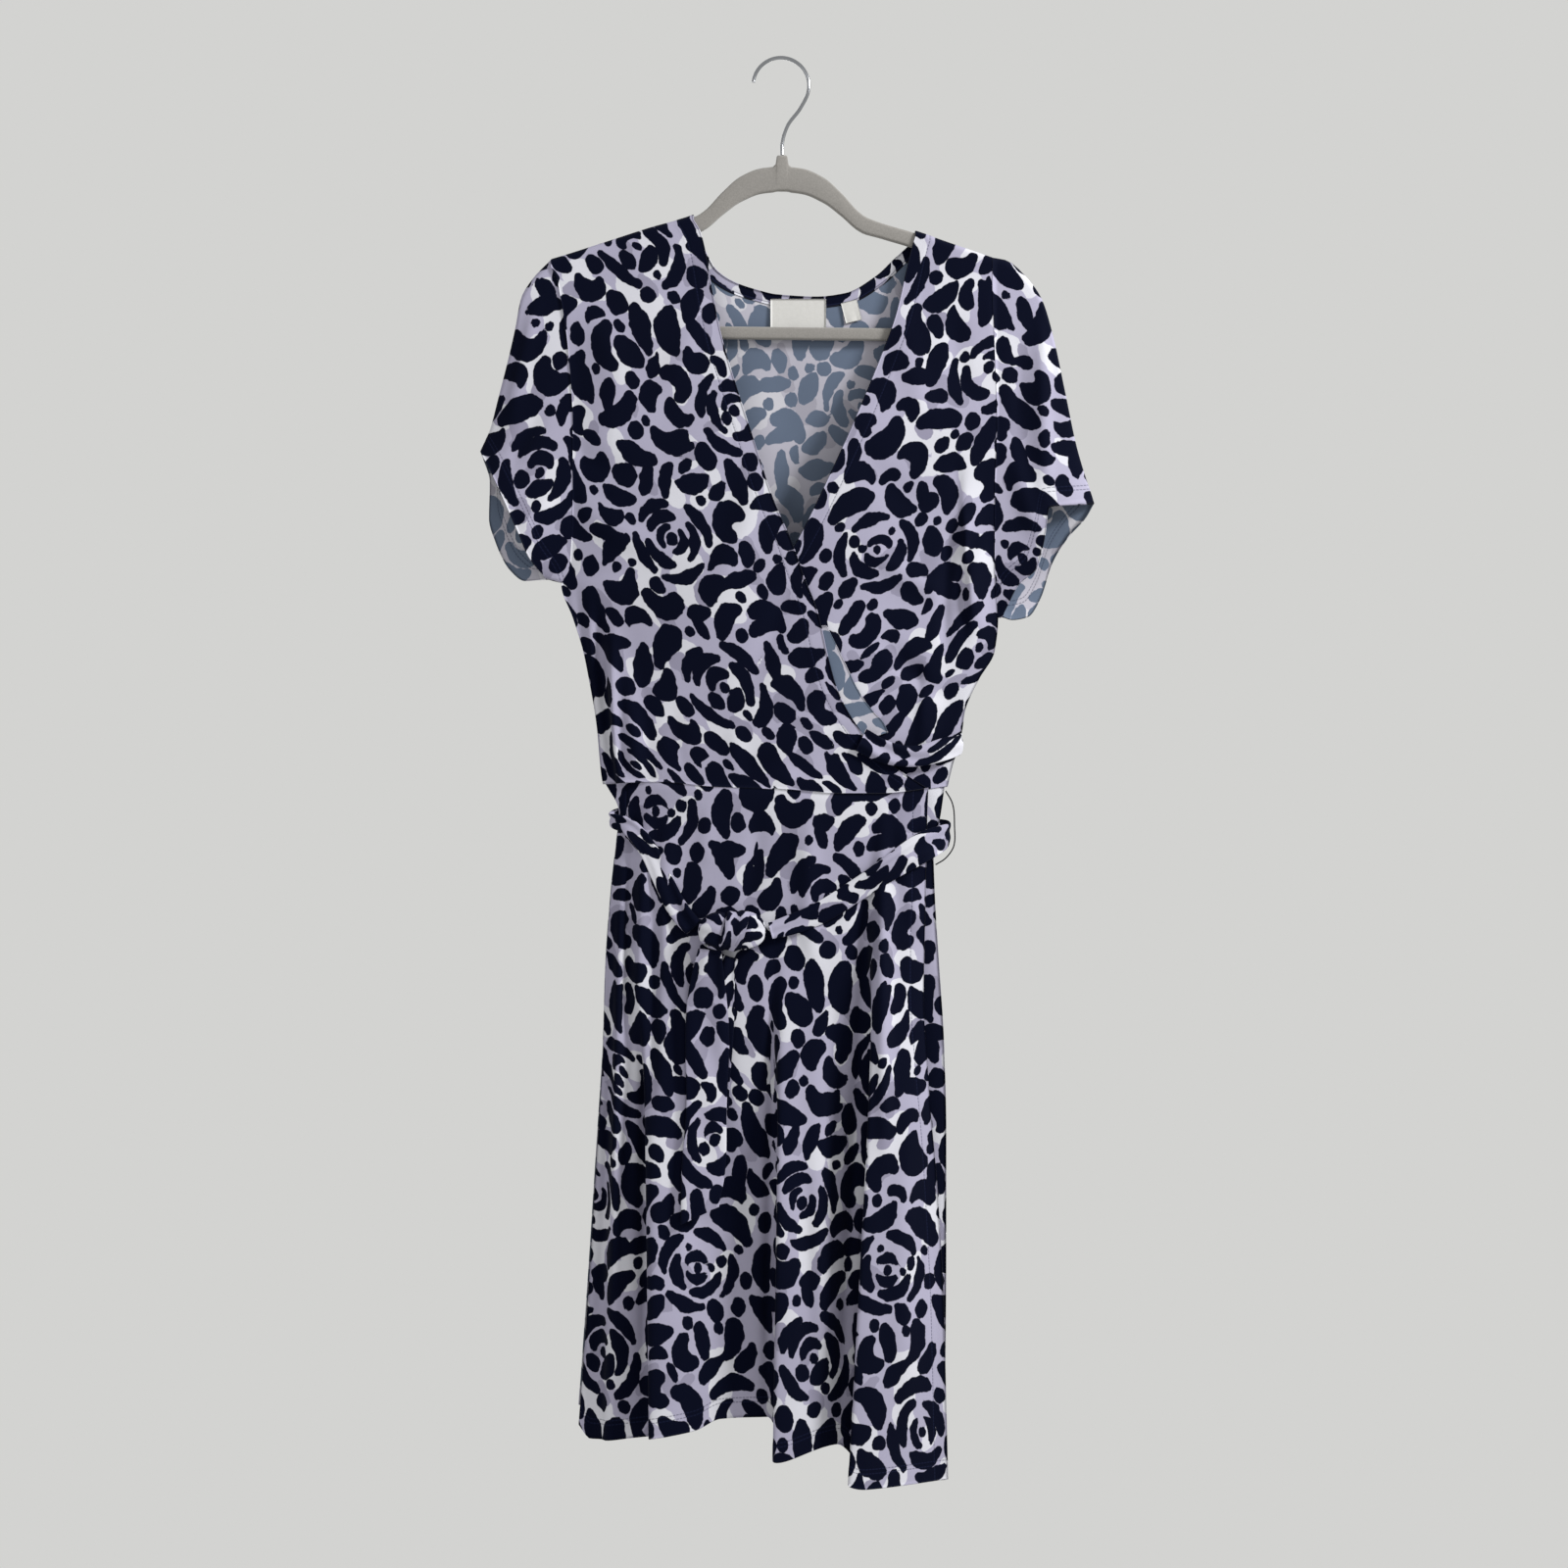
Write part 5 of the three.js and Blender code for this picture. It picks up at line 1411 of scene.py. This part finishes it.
def hanger_rings():
    along = np.concatenate([np.arange(8, 78, 3), np.linspace(80, 166, 24)])
    band = lerp(22, 13, ramp(along, 30, 90))
    top = HANGER_TOP.at("z", along)
    outer = np.concatenate([
        [[3.6, -83.2], [4.6, -84.4], [5.6, -91]],
        np.stack([along, top], axis=-1),
        arc(HANGER_HALF_WIDTH - 12, -185.5, 12, 72, -55, 14),
        arc(140, -206, 37, -55, -90, 8),
    ])
    inner = np.concatenate([
        [[3.6, -114.4], [4.6, -114.5], [5.6, -114.6]],
        np.stack([along * 0.985, top - band], axis=-1),
        arc(176, -186.5, 4, 72, -55, 14),
        arc(140, -206, 26, -55, -90, 8),
    ])
    section_angle = np.linspace(0, np.pi / 2, 5)
    corner = BAR_ROUNDING * (1 - np.sin(section_angle))[::-1]
    rings = []
    for side in (1, -1):
        half = []
        for pair in zip(outer, inner):
            o, i = (np.array([side * x, z - HANGER_TILT * side * x]) for x, z in pair)
            length = np.linalg.norm(i - o)
            deep = np.concatenate([corner, length - corner[::-1]])
            share = np.clip(np.minimum(deep, length - deep) / BAR_ROUNDING, 0, 1)
            y = BAR_THICKNESS / 2 - BAR_ROUNDING * (1 - np.sqrt(1 - (1 - share) ** 2))
            line = o + (i - o) / length * deep[:, None]
            flat = stack(line[:, 0], y, line[:, 1])
            half.append(np.concatenate([flat, flat[::-1] * (1, -1, 1)]))
        rings += half if side > 0 else half[::-1]
    return np.array(rings)


ride(tube_object("hanger_flock", hanger_rings(), FLOCK, closed=True), "flocked_plastic", "hanger_body")


RIBBON_THICKNESS = 0.5
LABEL_LIFT = 1.6  # off the middle of the back's cloth


def label(name, node, width, height, x, top_z, turn, phase):
    """A folded ribbon, sewn along its top and turned by degrees, with a slight curl."""
    over = np.linspace(-0.5, 0.5, 25)[None, :]
    down = np.linspace(0, 1, 19)[:, None]
    curl = 0.5 * np.abs(np.sin(over * 5 + phase)) * down**2 + 0.15
    a = math.radians(turn)
    label_x = x + over * width * math.cos(a) + down * height * math.sin(a)
    label_z = top_z - down * height * math.cos(a) + over * width * math.sin(a)
    grid = stack(label_x, bodice_depth("back", x, top_z) - LABEL_LIFT - curl, label_z)
    points, faces, _, _ = shell_mesh(grid, RIBBON_THICKNESS, False, 1)
    ride(add_object(name, points, faces, RIBBON), "label_ribbon", node)


label("neck_label_ribbon", "neck_label", width=48, height=34, x=14, top_z=-207, turn=0, phase=1)
label("size_label_ribbon", "size_label", width=14, height=18, x=58, top_z=-209, turn=14, phase=2)


# The strip of wrong side that shows beside the lower part of the V edge
TURNED_EDGE = Table("z left right", [
    (-492, 35.7, 38.2), (-522, 40.0, 53.0), (-549, 47.6, 66.0), (-569, 58.6, 78.0), (-581, 66.3, 87.0),
    (-591, 72.0, 91.0),
])


TURNED_EDGE_LIFT = (1.6, 2.6)  # off the middle of the front's cloth, at its left and right side


def turned_edge():
    z = np.linspace(-492, -591, 48)[:, None]
    t = np.linspace(0, 1, 14)[None, :]
    left = TURNED_EDGE.at("left", z)
    x = lerp(left - 3, TURNED_EDGE.at("right", z), t)
    z = z + 8 * t * ramp(-z, 540, 600)
    depth = bodice_depth("front", x, z) + lerp(*TURNED_EDGE_LIFT, t)
    return stack(x, -depth, z)


turned_strip = cloth_object("bodice_turned_edge", turned_edge(), wrong=(1, 0), shift=(200, 40))
ride(turned_strip, "printed_jersey")


# The width, length and area of the cut of each piece, in metres, what holds it, and the pieces sewn to it
SHEETS = (
    ("bodice_front_over_cloth", 0.30, 0.56, 0.090, "hanger_flock", "bodice_turned_edge"),
    ("bodice_front_under_cloth", 0.28, 0.55, 0.080, "hanger_flock"),
    ("bodice_back_cloth", 0.45, 0.49, 0.164, "hanger_flock", "neck_band_back_cloth"),
    ("sleeve_right_cloth", 0.57, 0.16, 0.031, "bodice_front_over_cloth"),
    ("sleeve_left_cloth", 0.62, 0.17, 0.034, "bodice_front_under_cloth"),
    ("skirt_front_over_cloth", 0.48, 0.60, 0.206, "bodice_front_over_cloth"),
    ("skirt_front_under_cloth", 0.24, 0.54, 0.126, "bodice_front_under_cloth"),
    ("skirt_back_cloth", 0.39, 0.54, 0.184, "bodice_back_cloth"),
    ("tie_over_cloth", 0.020, 0.58, None, "bodice_front_over_cloth", "tie_knot_cloth", "tie_knot_wrap"),
    ("tie_under_cloth", 0.022, 0.46, None, "bodice_front_under_cloth"),
    ("tie_tail_long_cloth", 0.036, 0.22, None, "tie_knot_cloth"),
    ("tie_tail_short_cloth", 0.030, 0.13, None, "tie_knot_cloth"),
    ("neck_label_ribbon", 0.048, 0.034, None, "bodice_back_cloth"),
    ("size_label_ribbon", 0.014, 0.018, None, "bodice_back_cloth"),
)
for name, width, length, area, holder, *sewn_on in SHEETS:
    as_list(sewn_on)


# Stage, light and camera, in metres
FLOOR_RADIUS = 1.25
FLOOR_Z = -1.75
FLOOR_CORNERS = 64
AIM = Vector((0, 0, -0.65))  # of the lights, at the dress's middle

floor_mesh = bpy.data.meshes.new("floor")
turns = np.linspace(0, 2 * np.pi, FLOOR_CORNERS + 1)[:-1]
spots = [(FLOOR_RADIUS * math.cos(a), FLOOR_RADIUS * math.sin(a), FLOOR_Z) for a in turns]
floor_mesh.from_pydata(spots, [], [list(range(FLOOR_CORNERS))])
floor = bpy.data.objects.new("floor", floor_mesh)
bpy.context.scene.collection.objects.link(floor)
floor.data.materials.append(plain_material("pale floor", "#d7d7d5", (0.01, 3.0), Roughness=0.9))

world = bpy.data.worlds.new("pale room")
bpy.context.scene.world = world
world.use_nodes = True
background = world.node_tree.nodes["Background"]
background.inputs["Color"].default_value = srgb("#d3d3d1")
background.inputs["Strength"].default_value = 1.0


def area_light(name, place, size, power):
    data = bpy.data.lights.new(name, "AREA")
    data.shape = "SQUARE"
    data.size = size
    data.energy = power
    light = bpy.data.objects.new(name, data)
    light.location = place
    light.rotation_euler = (AIM - light.location).to_track_quat("-Z", "Y").to_euler()
    bpy.context.scene.collection.objects.link(light)


area_light("key", (1.9, -1.0, 0.7), size=0.5, power=78)
area_light("fill", (-1.7, -2.0, 0.0), size=1.4, power=6)
area_light("back", (-0.5, 2.2, 0.4), size=1.4, power=12)

camera_data = bpy.data.cameras.new("camera")
camera_data.lens = 58
camera_data.sensor_width = 36
camera = bpy.data.objects.new("camera", camera_data)
camera.location = (0.0017, -2.19, -0.628)
camera.rotation_euler = (math.pi / 2, 0, 0)
bpy.context.scene.collection.objects.link(camera)
bpy.context.scene.camera = camera
bpy.context.scene.view_settings.view_transform = "Standard"
